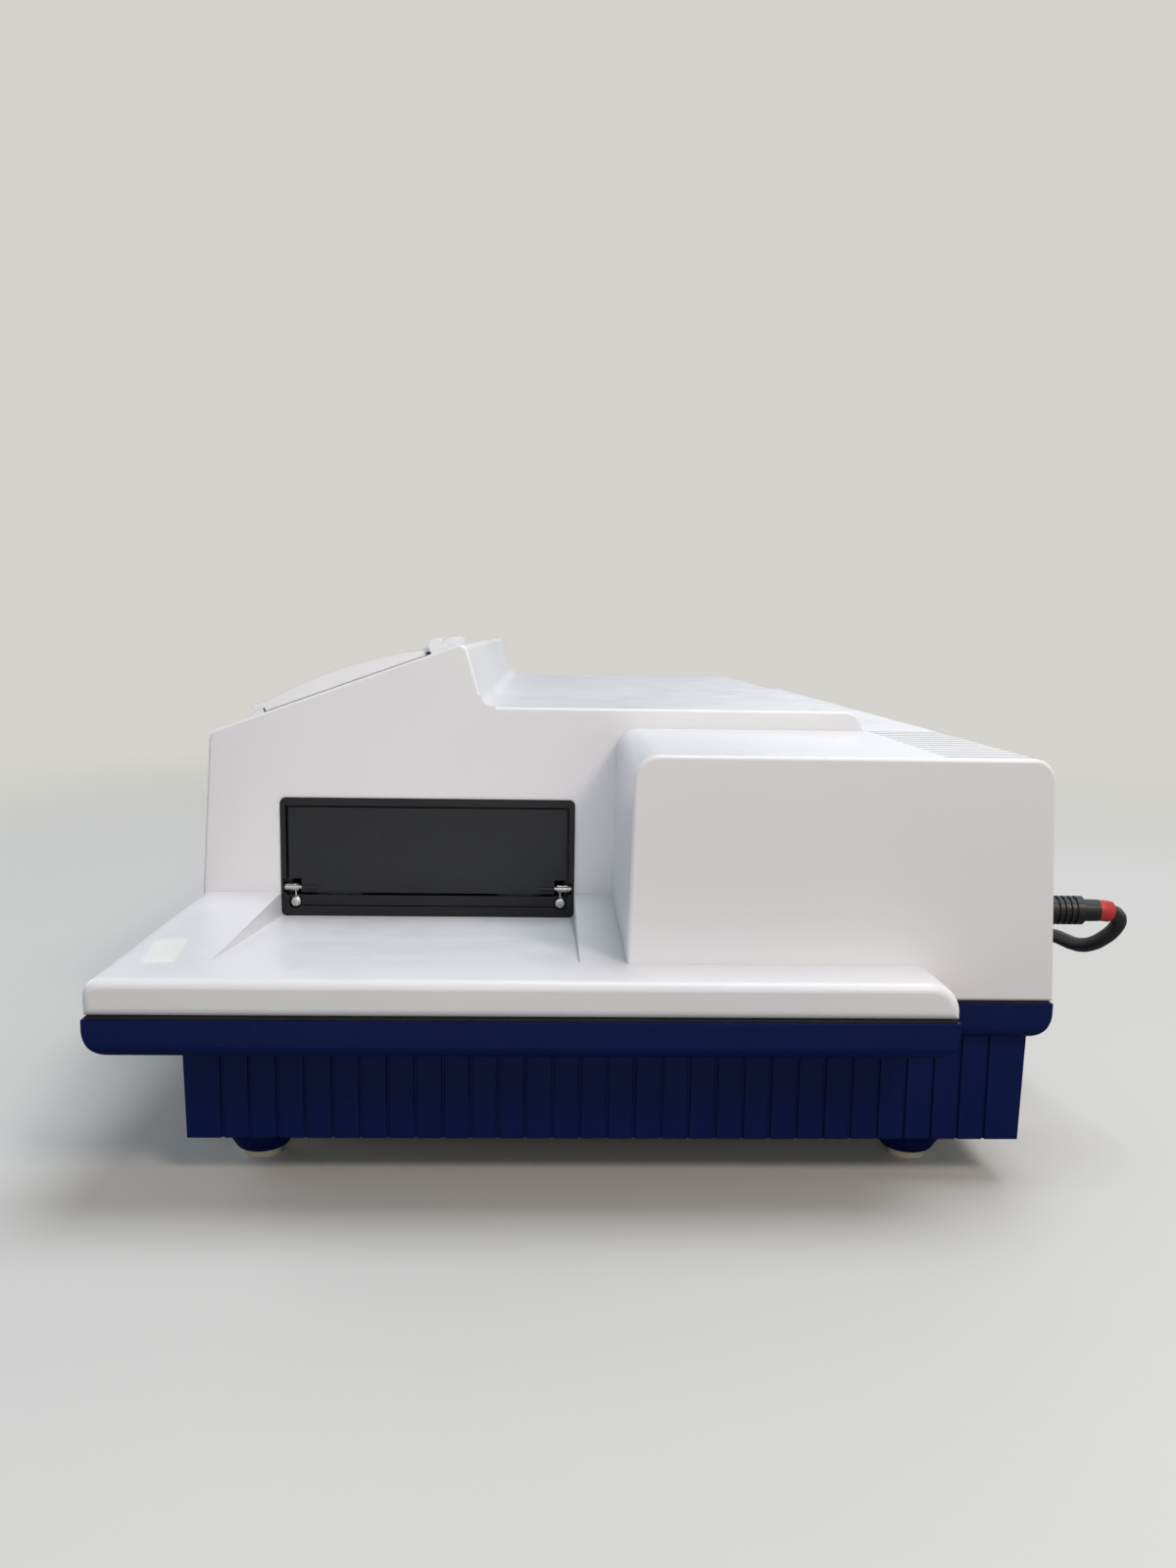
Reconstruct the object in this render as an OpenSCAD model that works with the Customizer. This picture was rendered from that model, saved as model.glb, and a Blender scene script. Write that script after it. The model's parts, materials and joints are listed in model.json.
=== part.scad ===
// Bench microplate reader: a moulded cover on a ribbed base, with a plate drawer that leaves through
// a flap on the right side, a cuvette port and control panel on the sloped front, and the optics inside.
// Millimetres. +X is the drawer side, -Y the front, +Z up. The origin is under the middle, on the table.

/* [Overall] */
// Length from the left end to the shelf's outer edge
body_len = 580; // [560:5:620]
// Depth from front to back
body_depth = 380; // [374:2:396]
// Height of the ridge over the table
body_h = 220; // [214:1:232]

/* [Cover] */
// Wall of the moulded cover
cover_wall = 3; // [2:0.25:4]
// Height of the cover's lower rim
rim_z = 80.2; // [78:0.2:84]
// Length of the landing shelf in front of the flap
shelf_len = 151.5; // [148:0.5:158]
// Thickness of the landing shelf
shelf_h = 14.5; // [12:0.5:17]
// Width of the shelf from front to back
shelf_w = 333.7; // [325:0.5:345]
// Set-back of the lamp bulge's end from the shelf's outer edge
bulge_setback = 25.7; // [22:0.1:32]
// Width of the lamp bulge at its foot
bulge_w = 173.8; // [165:0.2:180]
// Drop from the ridge to the deck
deck_drop = 31.6; // [26:0.2:36]
// Drop from the deck to the rear strip and the bulge's top
step_drop = 9.6; // [7:0.2:12]
// Width of the rear strip behind the deck
strip_w = 45.4; // [42:0.2:50]
// Drop from the ridge to the front edge of the slope
slope_drop = 45.4; // [40:0.2:50]
// Distance from the front to the ridge
ridge_y = 132.8; // [126:0.2:138]
// Lean of the ridge's back face, measured along the depth
ridge_lean = 8.8; // [5:0.1:12]
// Lean of the front wall over its height
front_lean = 5; // [3:0.1:8]
// Lean of the rear wall over its height
rear_lean = 5; // [2:0.1:7]
// Rounding of the bulge's front top edge
bulge_round = 10; // [6:0.5:14]
// Rounding of the rear top edge
rear_round = 8.5; // [5:0.5:12]
// Rounding of the deck's corners
deck_round = 8; // [5:0.5:9]
// Small rounding of the cover's outer ends
end_round = 1.8; // [1:0.1:2.5]
// Rounding of the shelf's outer edge
shelf_round = 4; // [2:0.2:6]

/* [Vents] */
// Number of vent slots in the rear strip
vent_count = 13; // [9:1:13]
// Distance from slot to slot
vent_pitch = 9.6; // [8:0.1:9.6]
// Width of a slot
vent_w = 3.6; // [2.5:0.1:3.8]
// Length of a slot down the rear wall
vent_drop = 14; // [8:0.5:20]

/* [Base] */
// Height of the skirt's lower edge over the table
skirt_z = 19; // [16:0.5:22]
// Height of the flange's underside
flange_z = 64; // [60:0.5:67]
// Wall of the base
base_wall = 4; // [3:0.25:5]
// Set-back of the skirt from the ends of the body
skirt_end = 31.7; // [28:0.1:36]
// Set-back of the skirt from the front
skirt_front = 27.4; // [24:0.2:32]
// Set-back of the skirt from the back
skirt_rear = 7.7; // [7:0.1:12]
// Rounding under the flange
flange_round = 11; // [8:0.5:13]
// Distance from groove to groove round the skirt
groove_pitch = 11.2; // [10:0.1:13]
// Width of a groove
groove_w = 1.4; // [1:0.1:2]
// Depth of a groove
groove_d = 1; // [0.6:0.1:1.6]
// Thickness of the dark seam between base and cover
seam_h = 1; // [0.6:0.1:1.4]
// Radius of a foot where it meets the base
foot_r = 17; // [14:0.5:20]
// Radius of a foot's rubber pad
pad_r = 8.3; // [7:0.1:10]
// Thickness of a foot's rubber pad
pad_h = 3.5; // [2:0.1:5]

/* [Drawer flap] */
// Width of the black frame round the flap
frame_w = 146; // [144:0.5:150]
// Height of the black frame
frame_h = 59.7; // [59:0.1:61]
// Distance from the body's front to the frame
frame_y = 41.5; // [39:0.5:44]
// Height of the frame's lower edge over the cover's rim
frame_z = 2.6; // [2:0.1:4]
// How far the frame stands proud of the wall
frame_proud = 0.8; // [0.4:0.1:1.5]
// Depth of the frame through the wall
frame_depth = 6.3; // [6:0.1:7]
// Width of the frame's sides
frame_side = 2.6; // [2.4:0.1:3]
// Gap round the flap's top and sides
flap_play = 1.2; // [0.8:0.1:1.4]
// Thickness of the flap
flap_t = 3; // [2.4:0.1:3.2]
// Height of the flap
flap_h = 43; // [41:0.5:43.5]
// Radius of the hinge pins
pin_r = 1.2; // [1:0.05:1.4]

/* [Plate drawer] */
// Travel of the drawer
drawer_travel = 280; // [272:1:282]
// Distance from the wall to the carriage's front at rest
home_gap = 175; // [173:0.5:178]
// Length of the plate pocket along the travel
pocket_len = 86.2; // [85.8:0.1:87]
// Width of the plate pocket
pocket_w = 128.4; // [128:0.1:129]
// Wall round the plate pocket
nest_wall = 2.8; // [2.2:0.1:3]
// Height of the carriage's underside
carriage_z = 109.5; // [109:0.25:110.5]
// Height of the carriage at the plate nest
nest_h = 9; // [7:0.25:11]
// Length of the carriage behind the nest
tail_len = 104; // [100:1:108]
// Radius of the rails
rail_r = 4; // [3:0.25:5]
// Height of the rails' axis
rail_z = 95; // [93:0.5:97]
// Distance between the rails
rail_gap = 90; // [84:1:94]
// Running clearance of every shaft and pin in its hole
run_fit = 0.05; // [0.02:0.01:0.09]
// Radius of the belt pulleys
pulley_r = 8; // [7:0.1:9]

/* [Cuvette port] */
// Width of the cuvette lid
lid_w = 70; // [60:1:76]
// Length of the cuvette lid along the slope
lid_len = 92; // [86:1:94]
// Distance from the side wall to the lid
lid_x = 23.5; // [16:0.5:30]
// Height of the lid's crown over the slope
lid_crown = 8.3; // [7:0.1:10]
// Height of the raised collar under the lid
collar_h = 1.8; // [1.4:0.1:2]
// Width of the square cuvette well
well_w = 12.6; // [12.5:0.05:12.8]
// Depth of the cuvette well
well_depth = 40; // [35:1:44]

/* [Control panel] */
// Length of the panel overlay
panel_w = 250; // [240:1:256]
// Height of the panel overlay along the slope
panel_h = 84; // [80:1:90]
// Width of the display opening
screen_w = 98; // [90:1:104]
// Height of the display opening along the slope
screen_h = 42; // [36:1:48]
// Number of keys
key_count = 4; // [4:1:4]
// Distance from key to key
key_pitch = 26; // [24:0.5:27]
// Width of a key
key_w = 18; // [15:0.5:20]
// Height of a key along the slope
key_h = 13; // [11:0.5:15]
// Height of a key over the slope
key_proud = 1.4; // [1:0.1:1.6]

/* [Inside] */
// Thickness of the chassis plate
chassis_t = 3; // [2:0.25:4]
// Height of the optics bench's underside
bench_z = 140; // [139:0.5:142]
// Thickness of the optics bench
bench_t = 6; // [5:0.25:7]
// Radius of the support pillars
pillar_r = 5; // [4:0.25:6]
// Size of the square cooling fan
fan_size = 60; // [50:1:62]
// Radius of the order-sorting filter wheel
wheel_r = 28; // [25:0.5:30]
// Height of the monochromator housings
mono_h = 34; // [32:0.5:36]

/* [Hidden] */
$fn = 96;

// Clearances and overlaps
eps = 0.05;
lap = 0.08;
gap = 0.3;
cut = 1;

// Outer places
x_right = body_len / 2;
x_left = -x_right;
y_front = -body_depth / 2;
y_rear = body_depth / 2;
wall_x = x_right - shelf_len;
bulge_x = x_right - bulge_setback;
shelf_z = rim_z + shelf_h;
deck_z = body_h - deck_drop;
strip_z = deck_z - step_drop;
strip_y = y_rear - rear_lean - strip_w;
ridge_at = y_front + ridge_y;
slope_y = y_front + 2.5 + front_lean;
slope_z = body_h - slope_drop;
slope_angle = atan2(body_h - slope_z, ridge_at - slope_y);
slope_len = norm([body_h - slope_z, ridge_at - slope_y]);
foot_inset = 1.6;
corner_small = 1.5;
ridge_round = 4;
front_round = 6;
shelf_front_round = 7;
shelf_rear_round = 12;
bulge_lean = 1.9;
lean_over = strip_z - rim_z;

function rear_wall_y(z) = y_rear - rear_lean * (z - rim_z) / lean_over;

main_outline = [[y_front + foot_inset, rim_z], [y_rear, rim_z], [rear_wall_y(strip_z), strip_z],
  [strip_y, strip_z], [strip_y, deck_z], [ridge_at + ridge_lean, deck_z], [ridge_at, body_h],
  [slope_y, slope_z], [y_front + 2.5, shelf_z]];
main_radii = [0, 0, rear_round, corner_small, deck_round, deck_round, ridge_round, front_round, 0];
bulge_outline = [[y_rear - bulge_w, rim_z], [y_rear, rim_z], [rear_wall_y(strip_z), strip_z],
  [y_rear - bulge_w + bulge_lean, strip_z]];
bulge_radii = [0, 0, rear_round, bulge_round];
shelf_outline = [[y_front, rim_z], [y_front + shelf_w, rim_z], [y_front + shelf_w, shelf_z], [y_front, shelf_z]];
shelf_radii = [0, 0, shelf_rear_round, shelf_front_round];

// Flap and frame
recess_y0 = y_front + frame_y;
recess_y1 = recess_y0 + frame_w;
recess_x = bulge_x - 1;
centre_y = recess_y0 + frame_w / 2;
frame_z0 = rim_z + frame_z;
frame_z1 = frame_z0 + frame_h;
frame_x1 = wall_x + frame_proud;
frame_x0 = frame_x1 - frame_depth;
frame_corner = 3;
frame_lip = 2.4;
flap_y0 = recess_y0 + frame_side + flap_play;
flap_y1 = recess_y1 - frame_side - flap_play;
flap_z0 = frame_z0 + 11.8;
flap_x1 = wall_x - gap;
flap_x0 = flap_x1 - flap_t;
opening_z0 = flap_z0 - 4 * gap;
opening_z1 = flap_z0 + flap_h + flap_play;
hinge_x = (flap_x0 + flap_x1) / 2;
hinge_z = flap_z0 + 2.5;
knuckle_r = 2.1;
notch_w = 6;
notch_h = 7;
spring_r = 2.2;
spring_len = 7;
sleeve_y0 = recess_y0 + 1.5;
sleeve_y1 = recess_y1 - 1.5 - spring_len;
screw_y0 = recess_y0 + 6.9;
screw_y1 = recess_y1 - 6.9;
screw_z = frame_z0 + 7;
door_screw_r = 2.9;

// Drawer
carriage_x1 = wall_x - home_gap;
nest_end = 5;
nest_x0 = carriage_x1 - pocket_len - 2 * nest_end;
tail_x0 = nest_x0 - tail_len;
nest_w = pocket_w + 2 * nest_wall;
nest_x = (carriage_x1 + nest_x0) / 2;
nest_floor = 3;
tail_t = 4;
chassis_z = rim_z - 1.2;
rail_x0 = x_left + 28;
rail_x1 = wall_x - 6.5;
support_len = 7;
block_len = 25;
block_w = 26;
block_pitch = 50;
block_x1 = rail_x1 - support_len - 0.5 - block_len - drawer_travel;
block_x = [block_x1, block_x1 - block_pitch];
belt_z = 86;
belt_h = 5;
belt_t = 1.5;
drive_x = rail_x0 + 30;
idler_x = rail_x1 - 20;
pulley_flange = 1.8;
shaft_r = 2.5;
motor_w = 35.2;
motor_l = 40;
clamp_x = tail_x0 + 43;

// Optics
bench_top = bench_z + bench_t;
bench_x0 = x_left + 34;
bench_x1 = wall_x - 18.5;
beam_y = 91;
beam_z = bench_top + 14;
mono_x = [0, -200];
mono_len = 114;
mono_w = 86;
mono_wall = 4;
grating_r = 14;
grating_shaft_r = 3;
filter_r = 6;
filter_ring = 20;
wheel_x = wall_x - 4.5;
wheel_t = 4;
fibre_r = 4;
fibre_bend = 20;
fibre_z = bench_top + 17;
head_r = 20;
head_neck = 17;

// Control panel and cuvette port
panel_x0 = x_left + 55;
panel_s0 = 24;
panel_t = 1;
panel_sunk = 0.6;
screen_x = panel_x0 + 13 + screen_w / 2;
keys_s = panel_s0 + panel_h / 2;
key_x0 = panel_x0 + panel_w - 29 - (key_count - 1) * key_pitch;
key_travel = 0.6;
board_h = -12;
lid_x0 = wall_x - lid_x - lid_w;
lid_x1 = wall_x - lid_x;
lid_s0 = 18;
lid_s1 = lid_s0 + lid_len;
lid_pin_s = lid_s1 + 6.3;
lid_pin_h = 4.3;
lid_knuckle_r = 3.2;
lid_pin_r = 1.5;
lid_wall = 2.2;
ear_w = 8;
well_x = (lid_x0 + lid_x1) / 2;
well_s = 70;
well_y = slope_y + well_s * cos(slope_angle);
well_hole = 34;
holder_w = 30;
holder_top = slope_z + well_s * sin(slope_angle) - 3.5;

// Rear side
panel_y = y_rear - 10;
rear_plate_t = 2;
rear_x0 = x_left + 49;
rear_x1 = 41;
rear_z0 = rim_z + 16;
rear_z1 = rear_z0 + 56;
fan_x = rear_x1 - 36;
fan_z = (rear_z0 + rear_z1) / 2;
fan_t = 15;
inlet_x = rear_x0 + 28;
inlet_z = fan_z;
rocker_x = inlet_x + 32;
rocker_r = 1.5;
rocker_angle = 8;
socket_x = 225;
socket_z = 108.8;
plug_r = 6.25;

// Feet
foot_x = 228;
foot_y = [-138, 144];

function unit(v) = v / norm(v);
function turn(a, b, c) = (b - a).x * (c - b).y - (b - a).y * (c - b).x;
function half_angle(a, b, c) = acos(unit(a - b) * unit(c - b)) / 2;
function trim(a, b, c, r) = r / tan(half_angle(a, b, c));
function arc_centre(a, b, c, r) = b + unit(unit(a - b) + unit(c - b)) * r / sin(half_angle(a, b, c));
function inward(a, b) = [-(b - a).y, (b - a).x] / norm(b - a);
// A closed outline moved inwards by t along every side
function inset(pts, t) = let (n = len(pts)) [for (i = [0:n - 1])
  let (u = inward(pts[(i + n - 1) % n], pts[i]), v = inward(pts[i], pts[(i + 1) % n]))
  pts[i] + (u + v) * t / (1 + u * v)];

// What a rounding of radius r leaves over at the corner b between a and c. Its circle stands proud of the
// sides by slip, so that it crosses them instead of grazing them
module corner_waste(a, b, c, r, slip = 0.004) {
  m = arc_centre(a, b, c, r);
  p = b + unit(a - b) * trim(a, b, c, r);
  q = b + unit(c - b) * trim(a, b, c, r);
  difference() {
    polygon([b + unit(b - m) * eps * norm(m - b) / r, p + unit(p - m) * eps, m, q + unit(q - m) * eps]);
    translate(m) circle(r + slip);
  }
}

// A closed outline with a radius at each corner, outside or inside
module rounded_outline(pts, radii) {
  n = len(pts);
  difference() {
    union() {
      polygon(pts);
      for (i = [0:n - 1]) let (a = pts[(i + n - 1) % n], b = pts[i], c = pts[(i + 1) % n])
        if (radii[i] > 0 && turn(a, b, c) < 0) corner_waste(a, b, c, radii[i]);
    }
    for (i = [0:n - 1]) let (a = pts[(i + n - 1) % n], b = pts[i], c = pts[(i + 1) % n])
      if (radii[i] > 0 && turn(a, b, c) > 0) corner_waste(a, b, c, radii[i]);
  }
}

module rounded_box_outline(w, h, r) rounded_outline([[0, 0], [w, 0], [w, h], [0, h]], [r, r, r, r]);

// A YZ outline pushed along X, and an XZ outline pushed along Y
module along_x(x0, x1) translate([x0, 0, 0]) rotate([90, 0, 90]) linear_extrude(x1 - x0) children();
module along_y(y0, y1) translate([0, y1, 0]) rotate([90, 0, 0]) linear_extrude(y1 - y0) children();

// What a rounding of radius e leaves over round the end face at x of an outline pushed along X
module end_waste(pts, radii, x, e) {
  slip = 0.004;
  n = len(pts);
  for (i = [0:n - 1]) {
    z = pts[(i + n - 1) % n];
    a = pts[i];
    b = pts[(i + 1) % n];
    c = pts[(i + 2) % n];
    d = unit(b - a);
    p = a + d * (radii[i] > 0 ? trim(z, a, b, radii[i]) - lap : -e);
    q = b - d * (radii[(i + 1) % n] > 0 ? trim(a, b, c, radii[(i + 1) % n]) - lap : -e);
    translate([x, p.x, p.y]) rotate([atan2(d.y, d.x) - 90, 0, 0]) linear_extrude(norm(q - p))
      corner_waste([-1, 0], [0, 0], [0, -1], e, 4 * slip);
    if (radii[i] > e && turn(z, a, b) > 0) {
      m = arc_centre(z, a, b, radii[i]);
      s = a + unit(z - a) * trim(z, a, b, radii[i]) - m;
      translate([x, m.x, m.y]) rotate([90, 0, 90])
        rotate_extrude(angle = 180 - 2 * half_angle(z, a, b), start = atan2(s.y, s.x))
          corner_waste([radii[i], -1], [radii[i], 0], [radii[i] - 1, 0], e, 2.5 * slip);
    }
  }
}

module moulded_block(pts, radii, x0, x1, e) difference() {
  along_x(x0, x1) rounded_outline(pts, radii);
  end_waste(pts, radii, x1, e);
}

// Places things on the sloped front: Y runs up the slope, Z out of it
module on_slope(x, s, h) translate([x, slope_y, slope_z]) rotate([slope_angle, 0, 0]) translate([0, s, h]) children();

module tube(r, r_in, h) difference() {
  cylinder(r = r, h = h);
  translate([0, 0, -cut]) cylinder(r = r_in, h = h + 2 * cut);
}

module block(x0, x1, y0, y1, z0, z1) translate([x0, y0, z0]) cube([x1 - x0, y1 - y0, z1 - z0]);

// ---- Cover, base and feet ----

module cover_cavity() {
  w = cover_wall;
  main_in = inset(main_outline, w);
  bulge_in = inset(bulge_outline, w);
  along_x(x_left + w, wall_x - w) union() {
    polygon(main_in);
    translate([main_in[0].x, rim_z - cut]) square([main_in[1].x - main_in[0].x, w + 2 * cut]);
  }
  along_x(wall_x - w - cut, bulge_x - w) union() {
    polygon(bulge_in);
    translate([bulge_in[0].x, rim_z - cut]) square([bulge_in[1].x - bulge_in[0].x, w + 2 * cut]);
  }
  // under the landing shelf, outside the ramp's floor
  difference() {
    block(wall_x - w - cut, x_right - w, y_front + w + shelf_front_round / 4, y_front + shelf_w - 2 * w,
      rim_z - cut, shelf_z - w);
    along_y(recess_y0 - w, recess_y1 + w) polygon([[wall_x - w - 2 * cut, frame_z0 - w],
      [recess_x, shelf_z - w], [recess_x, shelf_z + cut], [wall_x - w - 2 * cut, shelf_z + cut]]);
    block(wall_x - w - 2 * cut, wall_x, y_front, recess_y1 + w, frame_z0 - w, shelf_z);
  }
}

module vent_slots() for (i = [0:vent_count - 1])
  block(wall_x + 1 + i * vent_pitch, wall_x + 1 + i * vent_pitch + vent_w, strip_y + 3, y_rear + cut,
    strip_z - vent_drop, strip_z + cut);

module vertical_well(w, z0, z1) translate([well_x - w / 2, well_y - w / 2, z0]) cube([w, w, z1 - z0]);

module panel_outline(w, h, r) translate([-w / 2, -h / 2]) rounded_box_outline(w, h, r);

module key_places() for (i = [0:key_count - 1]) on_slope(key_x0 + i * key_pitch, keys_s, 0) children();

module panel_holes(z0, z1) {
  on_slope(screen_x, keys_s, z0) linear_extrude(z1 - z0) panel_outline(screen_w, screen_h, 1.5);
  key_places() translate([0, 0, z0]) linear_extrude(z1 - z0) panel_outline(key_w + 2 * gap, key_h + 2 * gap, 3);
}

module top_cover() color("white") difference() {
  union() {
    moulded_block(main_outline, main_radii, x_left, wall_x, end_round);
    moulded_block(bulge_outline, bulge_radii, wall_x - 2 * cover_wall, bulge_x, end_round);
    moulded_block(shelf_outline, shelf_radii, wall_x - 2 * cover_wall, x_right, shelf_round);
  }
  mirror([1, 0, 0]) end_waste(main_outline, main_radii, -x_left, end_round);
  difference() {
    cover_cavity();
    // keeps a full wall behind the shelf's rounded rear end
    block(bulge_x - cover_wall, x_right, y_front + shelf_w - shelf_rear_round, y_front + shelf_w, rim_z + 4, shelf_z);
  }
  // ramp in front of the flap
  along_y(recess_y0, recess_y1) polygon([[wall_x - eps, frame_z0], [recess_x, shelf_z],
    [recess_x, shelf_z + cut], [wall_x - eps, shelf_z + cut]]);
  // hole for the flap's frame
  along_x(wall_x - 2 * cover_wall, wall_x + cut) translate([recess_y0, frame_z0])
    rounded_box_outline(frame_w, frame_h, frame_corner);
  vent_slots();
  // window for the rear panel and hole for the signal socket
  along_y(panel_y - cut, y_rear + cut) translate([rear_x0, rear_z0])
    rounded_box_outline(rear_x1 - rear_x0, rear_z1 - rear_z0, 4);
  translate([socket_x, y_rear + cut, socket_z]) rotate([90, 0, 0]) cylinder(r = 8 + gap, h = 12);
  // seat of the panel overlay with its openings
  on_slope(panel_x0 + panel_w / 2, panel_s0 + panel_h / 2, -panel_sunk) linear_extrude(2 * panel_t)
    panel_outline(panel_w + gap, panel_h + gap, 5);
  panel_holes(-2 * cover_wall, cut);
  vertical_well(well_hole, slope_z, body_h);
}

skirt_x1 = x_right - skirt_end;
skirt_y0 = y_front + skirt_front;
skirt_y1 = y_rear - skirt_rear;
skirt_lean = 1.1;
groove_x = floor((2 * skirt_x1 - groove_pitch) / groove_pitch / 2);
skirt_mid = (skirt_y0 + skirt_y1) / 2;
groove_y = floor((skirt_y1 - skirt_y0 - groove_pitch) / groove_pitch / 2);

module skirt_outline() difference() {
  translate([-skirt_x1, skirt_y0]) square([2 * skirt_x1, skirt_y1 - skirt_y0]);
  for (i = [-groove_y:groove_y], side = [-1, 1])
    translate([side * skirt_x1 - groove_d, skirt_mid + i * groove_pitch - groove_w / 2]) square([2 * groove_d, groove_w]);
  for (i = [-groove_x:groove_x], y = [skirt_y0, skirt_y1])
    translate([i * groove_pitch - groove_w / 2, y - groove_d]) square([groove_w, 2 * groove_d]);
}

seam_z = rim_z - seam_h;

module flange_block(y0, y1, x0, x1) intersection() {
  along_x(x0, x1) rounded_outline([[y0, flange_z], [y1, flange_z], [y1, seam_z], [y0, seam_z]],
    [flange_round, flange_round, 0, 0]);
  along_y(y0, y1) rounded_outline([[x0, flange_z], [x1, flange_z], [x1, seam_z], [x0, seam_z]],
    [flange_round / 2, flange_round / 2, 0, 0]);
}

module base_pan() color("midnightblue") difference() {
  union() {
    intersection() {
      translate([0, 0, skirt_z]) linear_extrude(flange_z + 2 - skirt_z) skirt_outline();
      along_x(x_left, x_right) polygon([[skirt_y0 + skirt_lean, skirt_z], [skirt_y1 - skirt_lean, skirt_z],
        [skirt_y1, flange_z + 2], [skirt_y0, flange_z + 2]]);
    }
    flange_block(y_front, y_rear, x_left, bulge_x);
    flange_block(y_front, y_front + shelf_w, bulge_x - 2 * flange_round, x_right);
  }
  block(-skirt_x1 + base_wall, skirt_x1 - base_wall, skirt_y0 + base_wall, skirt_y1 - base_wall,
    skirt_z + base_wall, rim_z);
  block(x_left + base_wall, bulge_x - base_wall, y_front + base_wall, y_rear - base_wall, flange_z + base_wall, rim_z);
  block(bulge_x - 2 * base_wall, x_right - base_wall, y_front + base_wall, y_front + shelf_w - base_wall,
    flange_z + base_wall, rim_z);
}

module seam_outline(t) {
  translate([x_left + t, y_front + t]) square([bulge_x - x_left - 2 * t, body_depth - 2 * t]);
  translate([x_left + t, y_front + t]) square([body_len - 2 * t, shelf_w - 2 * t]);
}

module seam_gasket() color("black") translate([0, 0, seam_z]) linear_extrude(seam_h) difference() {
  seam_outline(1.2);
  seam_outline(base_wall);
}

module feet_places() for (x = [-foot_x, foot_x], y = foot_y) translate([x, y, 0]) children();

module base_feet() color("midnightblue") feet_places() rotate_extrude() difference() {
  rounded_outline([[0, pad_h], [foot_r * 0.62, pad_h], [foot_r, skirt_z - 5], [foot_r, skirt_z], [0, skirt_z]],
    [0, 3, 6, 0, 0]);
  translate([-cut, pad_h - cut]) square([2, 2]);
}

module foot_pads() color("wheat") feet_places() cylinder(r = pad_r, h = pad_h);

module cover_screws() color("silver") for (x = [x_left + 18, x_right - 18], y = [-110, 110])
  translate([x, y, flange_z - 2.4]) difference() {
    cylinder(r = 3.5, h = 2.4);
    translate([0, 0, -cut]) cylinder(r = 1.6, h = 1.4 + cut, $fn = 6);
  }

// ---- Chassis ----

chassis_x1 = bulge_x - 12;
chassis_y = [y_front + 25, panel_y + 2];
pillar_x = [x_left + 46, -70, 100, chassis_x1 - 8];
pillar_y = [-150, 150];
bench_pillar_y = [-160, 5, 150];

module chassis_plate() color("silver") difference() {
  block(x_left + 22, chassis_x1, chassis_y[0], chassis_y[1], chassis_z - chassis_t, chassis_z);
  translate([drive_x, centre_y, 0]) cylinder(r = 11 + gap, h = body_h);
  for (x = [-30, 30, 200]) translate([x, 100, 0]) cylinder(r = 12, h = body_h);
}

module support_pillars() color("silver") {
  for (x = pillar_x, y = pillar_y) translate([x, y, skirt_z + base_wall])
    cylinder(r = pillar_r, h = chassis_z - chassis_t - skirt_z - base_wall);
  for (x = [pillar_x[0], pillar_x[1], pillar_x[2]], y = bench_pillar_y) translate([x, y, chassis_z])
    cylinder(r = pillar_r, h = bench_z - chassis_z);
}

module rail_places() for (side = [-1, 1]) translate([0, centre_y + side * rail_gap / 2, rail_z]) children();

module rail_shafts() color("lightgray") rail_places() translate([rail_x0, 0, 0]) rotate([0, 90, 0])
  cylinder(r = rail_r, h = rail_x1 - rail_x0);

module rail_supports() color("gray") rail_places() for (x = [rail_x0, rail_x1 - support_len]) difference() {
  block(x, x + support_len, -11, 11, chassis_z - rail_z, 8);
  translate([x - cut, 0, 0]) rotate([0, 90, 0]) cylinder(r = rail_r, h = support_len + 2 * cut);
}

module drive_motor() color("dimgray") translate([drive_x, centre_y, 0]) difference() {
  union() {
    translate([-motor_w / 2, -motor_w / 2, chassis_z - chassis_t - motor_l]) linear_extrude(motor_l)
      rounded_box_outline(motor_w, motor_w, 4);
    translate([0, 0, chassis_z - chassis_t - eps]) cylinder(r = 11, h = 2);
  }
  translate([0, 0, chassis_z - chassis_t - 10]) cylinder(r = shaft_r + run_fit, h = 20);
}

module pulley_outline(r0) polygon([[r0, belt_z - 1.5], [pulley_r + pulley_flange, belt_z - 1.5],
  [pulley_r + pulley_flange, belt_z - gap], [pulley_r, belt_z - gap], [pulley_r, belt_z + belt_h + gap],
  [pulley_r + pulley_flange, belt_z + belt_h + gap], [pulley_r + pulley_flange, belt_z + belt_h + 1.5],
  [r0, belt_z + belt_h + 1.5]]);

module drive_pulley() color("silver") translate([drive_x, centre_y, 0]) {
  rotate_extrude() pulley_outline(0);
  translate([0, 0, chassis_z - chassis_t - 9]) cylinder(r = shaft_r, h = belt_z - chassis_z + chassis_t + 9);
}

module idler_bracket() color("gray") translate([idler_x, centre_y, 0]) {
  block(-11, 11, -14, 14, chassis_z, chassis_z + 2.5);
  translate([0, 0, chassis_z]) cylinder(r = 5, h = belt_z - 1.5 - 0.1 - chassis_z);
  translate([0, 0, chassis_z]) cylinder(r = 3, h = belt_z + belt_h + 4 - chassis_z);
}

module idler_pulley() color("silver") translate([idler_x, centre_y, 0]) rotate_extrude() pulley_outline(3 + run_fit);

belt_r = pulley_r + gap;

module timing_belt() color("black") translate([0, centre_y, belt_z]) linear_extrude(belt_h) {
  for (side = [-1, 1]) translate([drive_x, side > 0 ? belt_r : -belt_r - belt_t]) square([idler_x - drive_x, belt_t]);
  intersection() {
    translate([drive_x, 0]) difference() { circle(belt_r + belt_t); circle(belt_r); }
    translate([drive_x - 20, -20]) square([20, 40]);
  }
  intersection() {
    translate([idler_x, 0]) difference() { circle(belt_r + belt_t); circle(belt_r); }
    translate([idler_x, -20]) square([20, 40]);
  }
}

// ---- Flap on the right side ----

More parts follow.
